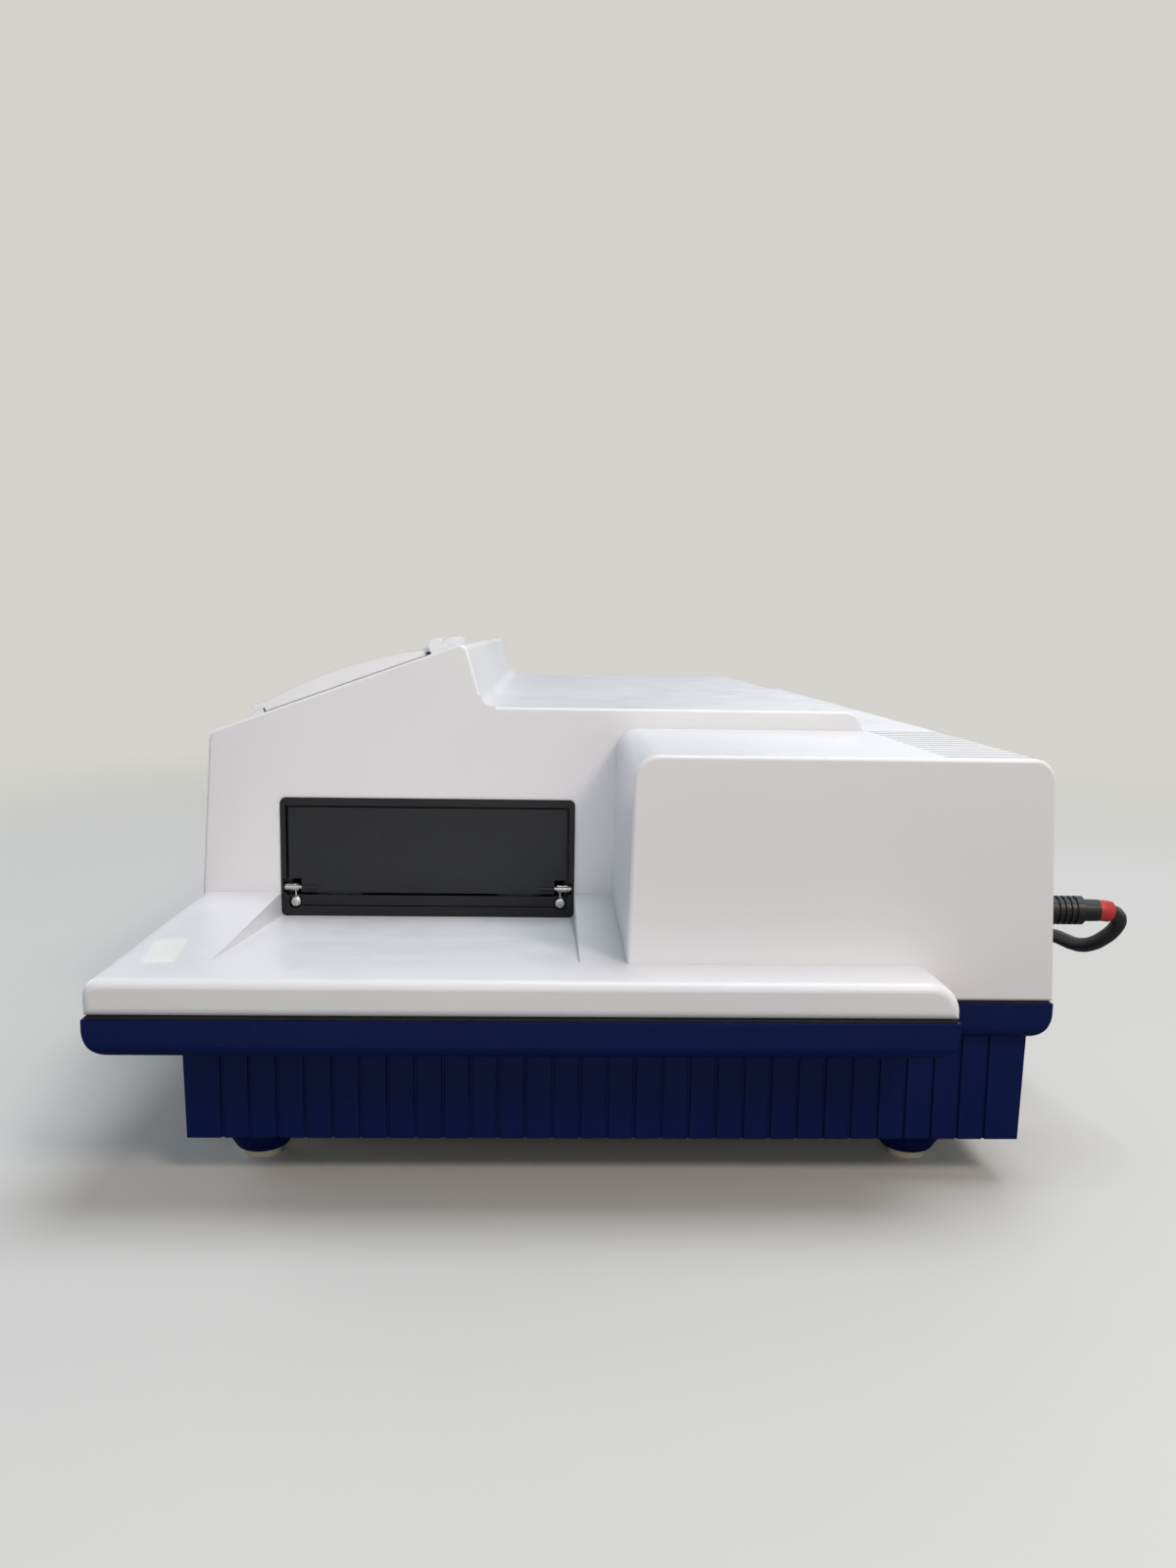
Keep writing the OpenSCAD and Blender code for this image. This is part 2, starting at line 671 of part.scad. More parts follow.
module on_hinge(y) translate([hinge_x, y, hinge_z]) rotate([-90, 0, 0]) children();

module door_frame() color([0.15, 0.15, 0.16]) difference() {
  along_x(frame_x0, frame_x1) translate([recess_y0, frame_z0])
    rounded_box_outline(frame_w, frame_h, frame_corner);
  // opening with a lip behind the flap at its top and sides
  block(flap_x0 - gap, frame_x1 + cut, flap_y0 - flap_play, flap_y1 + flap_play, opening_z0, opening_z1);
  block(frame_x0 - cut, frame_x1, recess_y0 + frame_side + frame_lip, recess_y1 - frame_side - frame_lip, opening_z0,
    opening_z1 - frame_lip);
  // grooves over and under the sill strip, and its recess
  block(frame_x1 - 2, frame_x1 + cut, screw_y0, screw_y1, frame_z0 + 5.1, frame_z0 + 5.6);
  block(frame_x1 - 0.6, frame_x1 + cut, screw_y0, screw_y1, frame_z0 + 5.1, opening_z0 + cut);
  // pockets for the springs and their screws
  for (y = [sleeve_y0, sleeve_y1]) {
    on_hinge(y - gap) cylinder(r = spring_r + gap, h = spring_len + 2 * gap);
    block(hinge_x, frame_x1 + cut, y - gap, y + spring_len + gap, hinge_z - spring_r - gap, flap_z0 + notch_h);
  }
  for (y = [screw_y0, screw_y1]) {
    translate([frame_x1 - 2.4, y, screw_z]) rotate([0, 90, 0]) cylinder(r = door_screw_r + gap, h = 5);
    block(frame_x1 - 2.4, frame_x1 + cut, y - door_screw_r, y + door_screw_r, screw_z, hinge_z);
  }
}

module door_flap() color([0.17, 0.17, 0.19]) difference() {
  union() {
    along_x(flap_x0, flap_x1) rounded_outline([[flap_y0 + notch_w, flap_z0], [flap_y1 - notch_w, flap_z0],
      [flap_y1 - notch_w, flap_z0 + notch_h], [flap_y1, flap_z0 + notch_h], [flap_y1, flap_z0 + flap_h],
      [flap_y0, flap_z0 + flap_h], [flap_y0, flap_z0 + notch_h], [flap_y0 + notch_w, flap_z0 + notch_h]],
      [0, 0, 0, 0.8, 1.6, 1.6, 0.8, 0]);
    for (y = [flap_y0 + notch_w, flap_y1 - notch_w - 8]) on_hinge(y) cylinder(r = knuckle_r, h = 8);
  }
  for (y = [flap_y0 + notch_w - cut, flap_y1 - notch_w - 7]) on_hinge(y) cylinder(r = pin_r + run_fit, h = 8);
}

module door_hinge_pins() color("silver") {
  on_hinge(recess_y0 + 0.6) cylinder(r = pin_r, h = flap_y0 + notch_w + 6 - recess_y0 - 0.6);
  on_hinge(flap_y1 - notch_w - 6) cylinder(r = pin_r, h = recess_y1 - 0.6 - flap_y1 + notch_w + 6);
}

module door_springs() color("silver") for (side = [0, 1]) {
  y = side == 0 ? sleeve_y0 : sleeve_y1;
  // closed coil with a groove between its turns, and the leg that its screw clamps
  on_hinge(y) difference() {
    rotate_extrude() polygon(concat([[pin_r, 0]],
      [for (i = [0:6], e = [[spring_r - 0.25, i], [spring_r, i + 0.25], [spring_r, i + 0.75], [spring_r - 0.25, i + 1]]) e],
      [[pin_r, 7]]));
  }
  leg_y = side == 0 ? screw_y0 : screw_y1;
  translate([frame_x1 - 1.8, leg_y, screw_z + door_screw_r]) cylinder(r = 0.45, h = hinge_z - screw_z - door_screw_r - 1.2);
}

module door_screws() color("silver") for (y = [screw_y0, screw_y1])
  translate([frame_x1 - 2.4, y, screw_z]) rotate([0, 90, 0]) difference() {
    rotate_extrude() rounded_outline([[0, 0], [door_screw_r, 0], [door_screw_r, 1.6], [0, 2]], [0, 0, 1.2, 0]);
    for (a = [0, 90]) rotate(a) translate([-1.6, -0.3, 1.1]) cube([3.2, 0.6, 2]);
  }

// ---- Plate drawer ----

module plate_carriage() color([0.2, 0.2, 0.22]) {
  difference() {
    block(nest_x0, carriage_x1, centre_y - nest_w / 2, centre_y + nest_w / 2, carriage_z, carriage_z + nest_h);
    // plate pocket with a ledge round its window
    block(nest_x0 + nest_end, carriage_x1 - nest_end, centre_y - pocket_w / 2, centre_y + pocket_w / 2,
      carriage_z + nest_floor, carriage_z + nest_h + cut);
    block(nest_x0 + nest_end + 6, carriage_x1 - nest_end - 6, centre_y - pocket_w / 2 + 6,
      centre_y + pocket_w / 2 - 6, carriage_z - cut, carriage_z + nest_h);
    // finger notches at the front, and a chamfer that leads the plate in
    for (y = [-32, 32]) block(carriage_x1 - nest_end - cut, carriage_x1 + cut, centre_y + y - 12, centre_y + y + 12,
      carriage_z + nest_floor, carriage_z + nest_h + cut);
    for (s = [-1, 1]) translate([0, centre_y + s * pocket_w / 2, carriage_z + nest_h]) rotate([45, 0, 0])
      block(nest_x0 + nest_end + 2, carriage_x1 - nest_end - 2, -1, 1, -1, 1);
    // drafted front corners
    for (s = [-1, 1]) translate([carriage_x1, centre_y + s * nest_w / 2, 0]) rotate(45)
      translate([-4, -4, carriage_z - cut]) cube([8, 8, nest_h + 2 * cut]);
  }
  difference() {
    block(tail_x0, nest_x0, centre_y - rail_gap / 2 - block_w / 2, centre_y + rail_gap / 2 + block_w / 2,
      carriage_z, carriage_z + tail_t);
    for (s = [-1, 1]) block(tail_x0 + 14, nest_x0 - 12, centre_y + s * 21 - 9, centre_y + s * 21 + 9,
      carriage_z - cut, carriage_z + tail_t + cut);
  }
}

module carriage_bearings() color("lightgray") rail_places() for (x = block_x) difference() {
  block(x, x + block_len, -block_w / 2, block_w / 2, -9, carriage_z - rail_z);
  translate([x - cut, 0, 0]) rotate([0, 90, 0]) cylinder(r = rail_r + run_fit, h = block_len + 2 * cut);
}

module belt_clamp() color("gray") difference() {
  block(clamp_x, clamp_x + 14, centre_y + pulley_r - 3, centre_y + belt_r + belt_t + 4, belt_z - 2, carriage_z);
  block(clamp_x - cut, clamp_x + 14 + cut, centre_y + belt_r - gap, centre_y + belt_r + belt_t + gap,
    belt_z - gap, belt_z + belt_h + gap);
}

// ---- Optics ----

module optics_bench() color("silver") difference() {
  block(bench_x0, bench_x1, y_front + 22, y_rear - 28, bench_z, bench_top);
  translate([nest_x, centre_y, 0]) cylinder(r = head_r + gap, h = body_h);
  for (x = mono_x) translate([x + mono_len / 2, beam_y, 0]) cylinder(r = grating_shaft_r + 1, h = body_h);
}

module lamp_module() color("dimgray") {
  x0 = bulge_x - cover_wall - 85;
  x1 = x0 + 72;
  difference() {
    union() {
      block(x0, x1, beam_y - 45, beam_y + 45, chassis_z, beam_z + 8);
      for (i = [0:7]) block(x0 + 4 + i * 8.5, x0 + 6.5 + i * 8.5, beam_y - 42, beam_y + 42, beam_z + 7, beam_z + 12);
    }
    translate([x0 - cut, beam_y, beam_z]) rotate([0, 90, 0]) cylinder(r = 7, h = 12);
  }
  // condenser barrel towards the filter wheel
  translate([x0 - 8, beam_y, beam_z]) rotate([0, 90, 0]) tube(9, 7, 8);
}

// A monochromator: an open tray with its own lid, a drive motor under the bench and light tubes
module monochromator(x) {
  difference() {
    block(x, x + mono_len, beam_y - mono_w / 2, beam_y + mono_w / 2, bench_top, bench_top + mono_h - 4);
    block(x + mono_wall, x + mono_len - mono_wall, beam_y - mono_w / 2 + mono_wall, beam_y + mono_w / 2 - mono_wall,
      bench_top + mono_wall, bench_top + mono_h);
    translate([x + mono_len / 2, beam_y, bench_top - cut]) cylinder(r = grating_shaft_r + run_fit, h = 2 * mono_wall);
    translate([x + mono_len - 2 * mono_wall, beam_y, beam_z]) rotate([0, 90, 0]) cylinder(r = 7, h = 3 * mono_wall);
  }
  block(x, x + mono_len, beam_y - mono_w / 2, beam_y + mono_w / 2, bench_top + mono_h - 4, bench_top + mono_h);
  translate([x + mono_len / 2, beam_y, bench_z - 20]) difference() {
    cylinder(r = 14, h = 20);
    translate([0, 0, 4]) cylinder(r = grating_shaft_r + run_fit, h = 20);
  }
}

module excitation_monochromator() color("darkslategray") {
  monochromator(mono_x[0]);
  translate([mono_x[0] + mono_len, beam_y, beam_z]) rotate([0, 90, 0]) tube(9, 7, wheel_x - 2 - mono_x[0] - mono_len);
}

module emission_monochromator() color("darkslategray") monochromator(mono_x[1]);

module grating(x) translate([x + mono_len / 2, beam_y, 0]) {
  translate([0, 0, bench_z - 14]) cylinder(r = grating_shaft_r, h = bench_top + mono_wall + gap - bench_z + 14);
  translate([0, 0, bench_top + mono_wall + gap]) cylinder(r = grating_r, h = 2);
  difference() {
    translate([-3, -12, bench_top + mono_wall + 2]) cube([6, 24, mono_h - 4 - mono_wall - 6]);
    // ruled face
    for (i = [0:10]) translate([2.8, -11 + i * 2, bench_top + mono_wall + 4]) cube([1, 0.6, mono_h]);
  }
}

module excitation_grating() color("lightsteelblue") grating(mono_x[0]);
module emission_grating() color("lightsteelblue") grating(mono_x[1]);

module filter_wheel() color("dimgray") translate([wheel_x, beam_y, beam_z - filter_ring]) rotate([0, 90, 0]) {
  difference() {
    cylinder(r = wheel_r, h = wheel_t);
    for (i = [0:5]) rotate(i * 60) translate([-filter_ring, 0, -cut]) cylinder(r = filter_r, h = wheel_t + 2 * cut);
  }
  cylinder(r = 2, h = wheel_t + 14);
}

module cutoff_filters() color([0.8, 0.5, 0.2, 0.6]) translate([wheel_x, beam_y, beam_z - filter_ring])
  rotate([0, 90, 0]) for (i = [1:5]) rotate(i * 60) translate([-filter_ring, 0, 0.5]) cylinder(r = filter_r, h = 3);

module filter_wheel_motor() color("dimgray") translate([wheel_x + wheel_t + 1, beam_y, beam_z - filter_ring])
  difference() {
    union() {
      rotate([0, 90, 0]) cylinder(r = 14, h = 24);
      block(4, 20, -9, 9, chassis_z - beam_z + filter_ring, -8);
    }
    translate([-cut, 0, 0]) rotate([0, 90, 0]) cylinder(r = 2 + run_fit, h = 16);
  }

// A quarter bend in the XY plane from angle a
module bend(x, y, a) translate([x, y, fibre_z]) rotate_extrude(angle = 90, start = a)
  translate([fibre_bend, 0]) circle(fibre_r);

module fibre_run(x, y, length, a) translate([x, y, fibre_z]) rotate([0, 90, a]) cylinder(r = fibre_r, h = length);

module fibre_bundle() color("black") {
  x_ex = mono_x[0] + mono_len / 2;
  x_em = mono_x[1] + mono_len / 2;
  y0 = beam_y - mono_w / 2;
  fibre_run(x_ex, centre_y + fibre_bend, y0 - centre_y - fibre_bend, 90);
  bend(x_ex - fibre_bend, centre_y + fibre_bend, 270);
  fibre_run(nest_x + head_neck, centre_y, x_ex - fibre_bend - nest_x - head_neck, 0);
  fibre_run(x_em, centre_y + fibre_bend, y0 - centre_y - fibre_bend, 90);
  if (nest_x - head_neck - x_em > fibre_bend) {
    bend(x_em + fibre_bend, centre_y + fibre_bend, 180);
    fibre_run(x_em + fibre_bend, centre_y, nest_x - head_neck - x_em - fibre_bend, 0);
  }
}

module read_head() color("black") translate([nest_x, centre_y, 0]) {
  translate([0, 0, carriage_z + nest_floor + 18]) cylinder(r = head_r, h = bench_top - carriage_z - nest_floor - 18);
  translate([0, 0, bench_top]) cylinder(r = head_r + 8, h = 5);
  translate([0, 0, bench_top]) cylinder(r = head_neck - 0.1, h = 28);
  translate([0, 0, carriage_z + nest_floor + 16.5]) cylinder(r = 11, h = 2);
}

module detector_tube() color("darkslategray") translate([mono_x[1], beam_y, beam_z + 3]) rotate([0, -90, 0]) {
  cylinder(r = 14, h = 52);
  cylinder(r = 17, h = 5);
}

// ---- Electronics ----

module main_board() color("darkgreen") {
  z = skirt_z + base_wall;
  block(-190, 190, -125, 0, z + 8, z + 9.6);
  for (x = [-180, 0, 180], y = [-115, -10]) translate([x, y, z]) cylinder(r = 3, h = 8);
  for (i = [0:3]) block(-150 + i * 70, -122 + i * 70, -80, -52, z + 9.6, z + 12);
  for (i = [0:5]) translate([-160 + i * 22, -25, z + 9.6]) cylinder(r = 5, h = 12);
  for (i = [0:2]) block(60 + i * 40, 90 + i * 40, -20, -12, z + 9.6, z + 20);
}

module power_supply() color("silver") difference() {
  block(-250, -110, 20, 138, skirt_z + base_wall, skirt_z + base_wall + 43);
  for (i = [0:11]) block(-240 + i * 10, -236 + i * 10, 30, 128, skirt_z + base_wall + 41, skirt_z + base_wall + 50);
}

module fan_axis(y) translate([fan_x, y, fan_z]) rotate([-90, 0, 0]) children();

module fan_frame() color("black") fan_axis(panel_y - fan_t) difference() {
  union() {
    difference() {
      linear_extrude(fan_t) translate([-fan_size / 2, -fan_size / 2]) rounded_box_outline(fan_size, fan_size, 5);
      translate([0, 0, -cut]) cylinder(r = fan_size / 2 - 2.5, h = fan_t + 2 * cut);
    }
    for (i = [0:3]) rotate(45 + i * 90) translate([0, -1.5, 0]) cube([fan_size / 2 - 1.5, 3, 2]);
    cylinder(r = 12, h = 3);
    cylinder(r = 1.5, h = 11);
  }
  for (x = [-1, 1], y = [-1, 1]) translate([x * (fan_size / 2 - 5), y * (fan_size / 2 - 5), -cut])
    cylinder(r = 2, h = fan_t + 2 * cut);
}

module fan_rotor() color("dimgray") fan_axis(panel_y - fan_t) difference() {
  union() {
    translate([0, 0, 3.4]) cylinder(r = 12, h = 9);
    for (i = [0:6]) rotate(i * 360 / 7) translate([11, 0, 8]) rotate([35, 0, 0])
      translate([0, -6, -0.6]) cube([fan_size / 2 - 4 - 11, 12, 1.2]);
  }
  translate([0, 0, 3]) cylinder(r = 1.5 + run_fit, h = 8.4);
}

module rear_panel() color("lightgray") difference() {
  union() {
    block(rear_x0 - 4, rear_x1 + 4, panel_y, panel_y + rear_plate_t, chassis_z, rear_z1 + 2);
    block(rear_x0 - 4, rear_x1 + 4, panel_y - 18, panel_y + cut, chassis_z, chassis_z + rear_plate_t);
  }
  // fan grille
  intersection() {
    fan_axis(panel_y - cut) cylinder(r = 26, h = 5);
    for (i = [-4:4]) block(fan_x + i * 6 - 1.7, fan_x + i * 6 + 1.7, panel_y - cut, panel_y + 5, rear_z0, rear_z1);
  }
  block(inlet_x - 23, rocker_x + 11, panel_y - cut, panel_y + 5, inlet_z - 13, inlet_z + 13);
  for (x = [-110, -75]) block(x - 7, x + 7, panel_y - cut, panel_y + 5, inlet_z - 5, inlet_z + 5);
}

module mains_inlet() color([0.1, 0.1, 0.1]) {
  difference() {
    union() {
      block(inlet_x - 26, rocker_x + 14, panel_y + rear_plate_t, panel_y + 4.5, inlet_z - 16, inlet_z + 16);
      block(inlet_x - 22.7, rocker_x + 10.7, panel_y - 26, panel_y + 3, inlet_z - 12.7, inlet_z + 12.7);
    }
    along_y(panel_y - 13, panel_y + 6) translate([inlet_x - 12.2, inlet_z - 8.4])
      rounded_outline([[0, 0], [24.4, 0], [24.4, 11], [19, 16.8], [5.4, 16.8], [0, 11]], [2, 2, 2, 2, 2, 2]);
    block(rocker_x - 6.5, rocker_x + 6.5, panel_y - 8, panel_y + 6, inlet_z - 10.8, inlet_z + 10.8);
    translate([rocker_x - 8.5, panel_y + 1.5, inlet_z]) rotate([0, 90, 0]) cylinder(r = rocker_r + run_fit, h = 17);
  }
  for (p = [[-7, -2], [7, -2], [0, 2.5]]) block(inlet_x + p.x - 1, inlet_x + p.x + 1, panel_y - 14, panel_y - 3,
    inlet_z + p.y - 2, inlet_z + p.y + 2);
}

module power_rocker() color("black") translate([rocker_x, panel_y + 1.5, inlet_z]) rotate([rocker_angle, 0, 0]) {
  along_x(-6, 6) polygon([[-4.5, -5], [-4.5, 5], [1.2, 9.6], [2.9, 9.2], [1.6, 0], [2.9, -9.2], [1.2, -9.6]]);
  translate([-8, 0, 0]) rotate([0, 90, 0]) cylinder(r = rocker_r, h = 16);
}

module data_sockets() color("silver") for (x = [-110, -75]) difference() {
  union() {
    block(x - 6.7, x + 6.7, panel_y - 12, panel_y + 5, inlet_z - 4.7, inlet_z + 4.7);
    block(x - 12, x + 12, panel_y + rear_plate_t, panel_y + rear_plate_t + 1, inlet_z - 7, inlet_z + 7);
  }
  block(x - 5.2, x + 5.2, panel_y - 4, panel_y + 6, inlet_z - 3.2, inlet_z + 3.2);
}

module signal_socket() color("dimgray") translate([socket_x, 0, socket_z]) rotate([-90, 0, 0]) {
  difference() {
    union() {
      translate([0, 0, y_rear - 22]) cylinder(r = 8, h = 21.5);
      translate([0, 0, y_rear - cover_wall - 5]) cylinder(r = 12, h = 3, $fn = 6);
    }
    translate([0, 0, y_rear - 6]) cylinder(r = 6.6, h = 8);
  }
}

// ---- Sloped front ----

module panel_overlay() color("lightsteelblue") difference() {
  on_slope(panel_x0 + panel_w / 2, panel_s0 + panel_h / 2, eps - panel_sunk) linear_extrude(panel_t)
    panel_outline(panel_w, panel_h, 4.8);
  panel_holes(-2, cut);
}

module display_module() color("darkslategray") on_slope(screen_x, keys_s, 0) {
  translate([0, 0, -cover_wall - 12]) linear_extrude(12) panel_outline(screen_w + 12, screen_h + 10, 1);
  translate([0, 0, -cover_wall - eps]) linear_extrude(cover_wall - 0.4) panel_outline(screen_w - gap, screen_h - gap, 1);
}

module keypad_board() color("darkgreen") on_slope(key_x0 + (key_count - 1) * key_pitch / 2, keys_s, 0) {
  w = (key_count - 1) * key_pitch / 2 + 14;
  block(-w, w, -22, 22, board_h - 1.6, board_h);
  for (x = [-w + 4, w - 4], y = [-18, 18]) translate([x, y, board_h]) cylinder(r = 2.5, h = -cover_wall - board_h);
  for (i = [0:key_count - 1]) translate([(i - (key_count - 1) / 2) * key_pitch, 0, board_h])
    cylinder(r1 = 5, r2 = 3.5, h = 1.4);
}

// A keycap with its retaining flange and plunger
module keycap(i) color([0.25, 0.3, 0.42]) on_slope(key_x0 + i * key_pitch, keys_s, 0) {
  flange_h = -cover_wall - gap;
  difference() {
    translate([0, 0, flange_h - eps]) linear_extrude(key_proud - flange_h + eps) panel_outline(key_w, key_h, 2.7);
    // dished top
    translate([0, 0, key_proud + 59.6]) rotate([0, 90, 0]) translate([0, 0, -key_w]) cylinder(r = 60, h = 2 * key_w, $fn = 360);
  }
  translate([0, 0, flange_h - 1.5]) linear_extrude(1.5) panel_outline(key_w + 3, key_h + 3, 3);
  translate([0, 0, board_h + 1.4 + key_travel + 0.2]) cylinder(r = 2, h = flange_h - board_h - 1.4 - key_travel - 0.2);
}

module key_1() keycap(0);
module key_2() keycap(1);
module key_3() keycap(2);
module key_4() keycap(3);

module cuvette_collar() color("white") {
  difference() {
    on_slope(lid_x0 + 3, lid_s0 + 9, eps) linear_extrude(collar_h - eps) rounded_box_outline(lid_w - 6, lid_len - 13, 3);
    vertical_well(well_hole, slope_z - 20, body_h + 20);
  }
  // ramp in front of the lid, under its finger lip
  on_slope(0, 0, eps) along_x(lid_x0, lid_x1) rounded_outline([[lid_s0 - 3.5, 0], [lid_s0 + 5, 0],
    [lid_s0 + 5, 2.4], [lid_s0 + 0.5, 2.4]], [0, 0, 0.5, 1]);
}

module cuvette_holder() color([0.12, 0.12, 0.12]) difference() {
  vertical_well(holder_w, bench_top, holder_top);
  vertical_well(well_w, holder_top - well_depth, holder_top + cut);
  // lead-in along two of the well's edges
  for (s = [-1, 1]) translate([well_x, well_y + s * well_w / 2, holder_top]) rotate([45, 0, 0])
    cube([well_w - 2, 1.6, 1.6], center = true);
  // windows for the beam
  translate([well_x - holder_w, well_y, holder_top - 25]) rotate([0, 90, 0]) cylinder(r = 2, h = 2 * holder_w);
}

lid_bottom = 0.5;
lid_tip_h = lid_crown - 2.8;
lid_end_h = lid_crown - 4.7;
lid_chord0 = lid_s0 + 10;
lid_slant = lid_tip_h - lid_end_h;
lid_chord = lid_s1 - lid_chord0;
lid_sag = lid_crown - (lid_tip_h + lid_end_h) / 2;
lid_arc_r = (lid_chord * lid_chord / 4 + lid_sag * lid_sag) / (2 * lid_sag);
lid_arc_c = [(lid_chord0 + lid_s1) / 2 - lid_arc_r * sin(atan(lid_slant / lid_chord)),
  lid_crown - lid_arc_r * cos(atan(lid_slant / lid_chord))];

module lid_profile(t) intersection() {
  translate(lid_arc_c) circle(lid_arc_r - t, $fn = 720);
  translate([lid_s0 + 6 + t, lid_bottom - (t > 0 ? cut : 0)]) square([lid_len - 6 - 2 * t, lid_crown]);
}

module cuvette_lid() color("white") on_slope(0, 0, eps) difference() {
  union() {
    along_x(lid_x0, lid_x1) lid_profile(0);
    // finger lip
    along_x(lid_x0, lid_x1) rounded_outline([[lid_s0, lid_tip_h - 1.7], [lid_s0 + 12, lid_tip_h - 2.6],
      [lid_s0 + 12, lid_tip_h], [lid_s0, lid_tip_h]], [0.5, 0, 0, 0.8]);
    // hinge barrel
    block(lid_x0 + ear_w + gap, lid_x1 - ear_w - gap, lid_s1 - 3, lid_pin_s, collar_h, collar_h + 2.4);
    translate([lid_x0 + ear_w + gap, lid_pin_s, lid_pin_h]) rotate([0, 90, 0])
      cylinder(r = lid_knuckle_r, h = lid_w - 2 * ear_w - 2 * gap);
  }
  along_x(lid_x0 + lid_wall, lid_x1 - lid_wall) lid_profile(lid_wall);
  translate([lid_x0, lid_pin_s, lid_pin_h]) rotate([0, 90, 0]) cylinder(r = lid_pin_r + run_fit, h = lid_w);
}

module lid_hinge_bracket() color("white") on_slope(0, 0, eps) {
  bar_s = lid_pin_s + lid_knuckle_r + 0.5;
  difference() {
    union() {
      along_x(lid_x0, lid_x1) rounded_outline([[bar_s, 0], [bar_s + 6.6, 0], [bar_s + 6.6, 5.5], [bar_s, 5.5]],
        [0, 0, 3, 3]);
      for (x = [lid_x0, lid_x1 - ear_w]) {
        translate([x, lid_pin_s, lid_pin_h]) rotate([0, 90, 0]) cylinder(r = lid_knuckle_r, h = ear_w);
        block(x, x + ear_w, lid_pin_s - lid_knuckle_r, bar_s + 1, 0, lid_pin_h);
      }
    }
    translate([lid_x0 - cut, lid_pin_s, lid_pin_h]) rotate([0, 90, 0]) cylinder(r = lid_pin_r, h = lid_w + 2 * cut);
  }
  translate([lid_x0, lid_pin_s, lid_pin_h]) rotate([0, 90, 0]) cylinder(r = lid_pin_r, h = lid_w);
}

// ---- Signal cord ----

cord_r = 3.25;
cord_exit = [socket_x, 224, 109];
// Route from the plug's sleeve down to the table and along it to the coil
cord_route = [cord_exit, [224.3, 229.6, 108.3], [222.7, 233.7, 106.7], [220.2, 236.3, 103.2], [217, 235.9, 98.4],
  [213, 233.4, 93.5], [208, 230.8, 89.6], [202, 229.2, 87.3], [195.5, 227.8, 86.3], [189, 226.4, 86.3],
  [182.5, 225.4, 86.2], [176, 224.6, 84.9], [170, 224, 82], [164.5, 223.8, 77.4], [160, 224, 71],
  [156, 224.3, 63.5], [152, 224.8, 55], [148, 225.4, 46], [143.5, 226.2, 37], [138, 227.2, 28],
  [130.5, 228.4, 19.4], [121, 229.8, 12.2], [109, 231, 7], [96, 231.4, 4.2], [82, 230, 3.4], [66, 226, 3.4],
  [50, 221, 3.4], [28, 214, 3.4], [5, 208, 3.4], [-18, 205, 3.4], [-40, 204, 3.4], [-60, 204, 3.4]];
// Tail from the coil's upper layer to the far plug
cord_tail = [[-60, 204, 9.9], [-75, 204, 9.3], [-90, 204, 8], [-104, 204, 6.8], [-118, 204, 6.4]];
coil_at = [-60, 249];
coil_mean_r = 38.5;
coil_w = 6 * cord_r;
coil_h = 4 * cord_r;
ring_bend = 16;
ring_tilt = 45;

function tangent(pts, i) = unit(pts[min(i + 1, len(pts) - 1)] - pts[max(i - 1, 0)]);
function cord_ring(p, t, r, n) = let (u = unit(cross(t, [0, 0, 1])), v = cross(u, t))
  [for (k = [0:n - 1]) p + r * (u * cos((k + 0.5) * 360 / n) + v * sin((k + 0.5) * 360 / n))];

module swept_tube(pts, r, n) {
  m = len(pts);
  polyhedron([for (i = [0:m - 1]) each cord_ring(pts[i], tangent(pts, i), r, n)],
    concat([[for (k = [0:n - 1]) k]], [for (i = [0:m - 2], k = [0:n - 1])
      [i * n + k, (i + 1) * n + k, (i + 1) * n + (k + 1) % n, i * n + (k + 1) % n]],
      [[for (k = [n - 1:-1:0]) (m - 1) * n + k]]));
}

module cord_tube() color([0.15, 0.13, 0.12]) {
  swept_tube(cord_route, cord_r, 8);
  swept_tube(cord_tail, cord_r, 8);
}

module cord_coil() color([0.15, 0.13, 0.12]) translate([coil_at.x, coil_at.y, 0.15]) rotate_extrude()
  rounded_outline([[coil_mean_r - coil_w / 2, 0], [coil_mean_r + coil_w / 2, 0],
    [coil_mean_r + coil_w / 2, coil_h], [coil_mean_r - coil_w / 2, coil_h]], [3, 3, 3, 3]);

// Ribbed plug with a tapered sleeve, pointing along +Z from its nose
module plug(length, sleeve) rotate_extrude() difference() {
  polygon([[0, 0], [plug_r - 0.6, 0], [plug_r, 0.6], [plug_r, length], [plug_r - 1.4, length + 0.8],
    [cord_r + 1.5, length + sleeve], [0, length + sleeve]]);
  for (i = [0:3]) translate([plug_r - 0.8, length * 0.62 + i * 2.6]) square([2, 1.2]);
}

module signal_plug() color([0.12, 0.12, 0.12]) translate([socket_x, y_rear - 5.5, socket_z + 0.2]) rotate([-90, 0, 0])
  plug(32, cord_exit.y - y_rear + 5.5 - 32);

module plug_ring() color([0.8, 0.25, 0.25]) translate(cord_exit) rotate([0, ring_tilt, 0])
  translate([0, 0, -ring_bend]) rotate([90, 0, 90]) rotate_extrude(angle = 26, start = 64)
    translate([ring_bend, 0]) difference() { circle(cord_r + 1.4); circle(cord_r + 0.1); }

module far_plug() color([0.12, 0.12, 0.12]) translate([cord_tail[4].x - 38, cord_tail[4].y, plug_r + 0.1])
  rotate([0, 90, 0]) plug(30, 8);

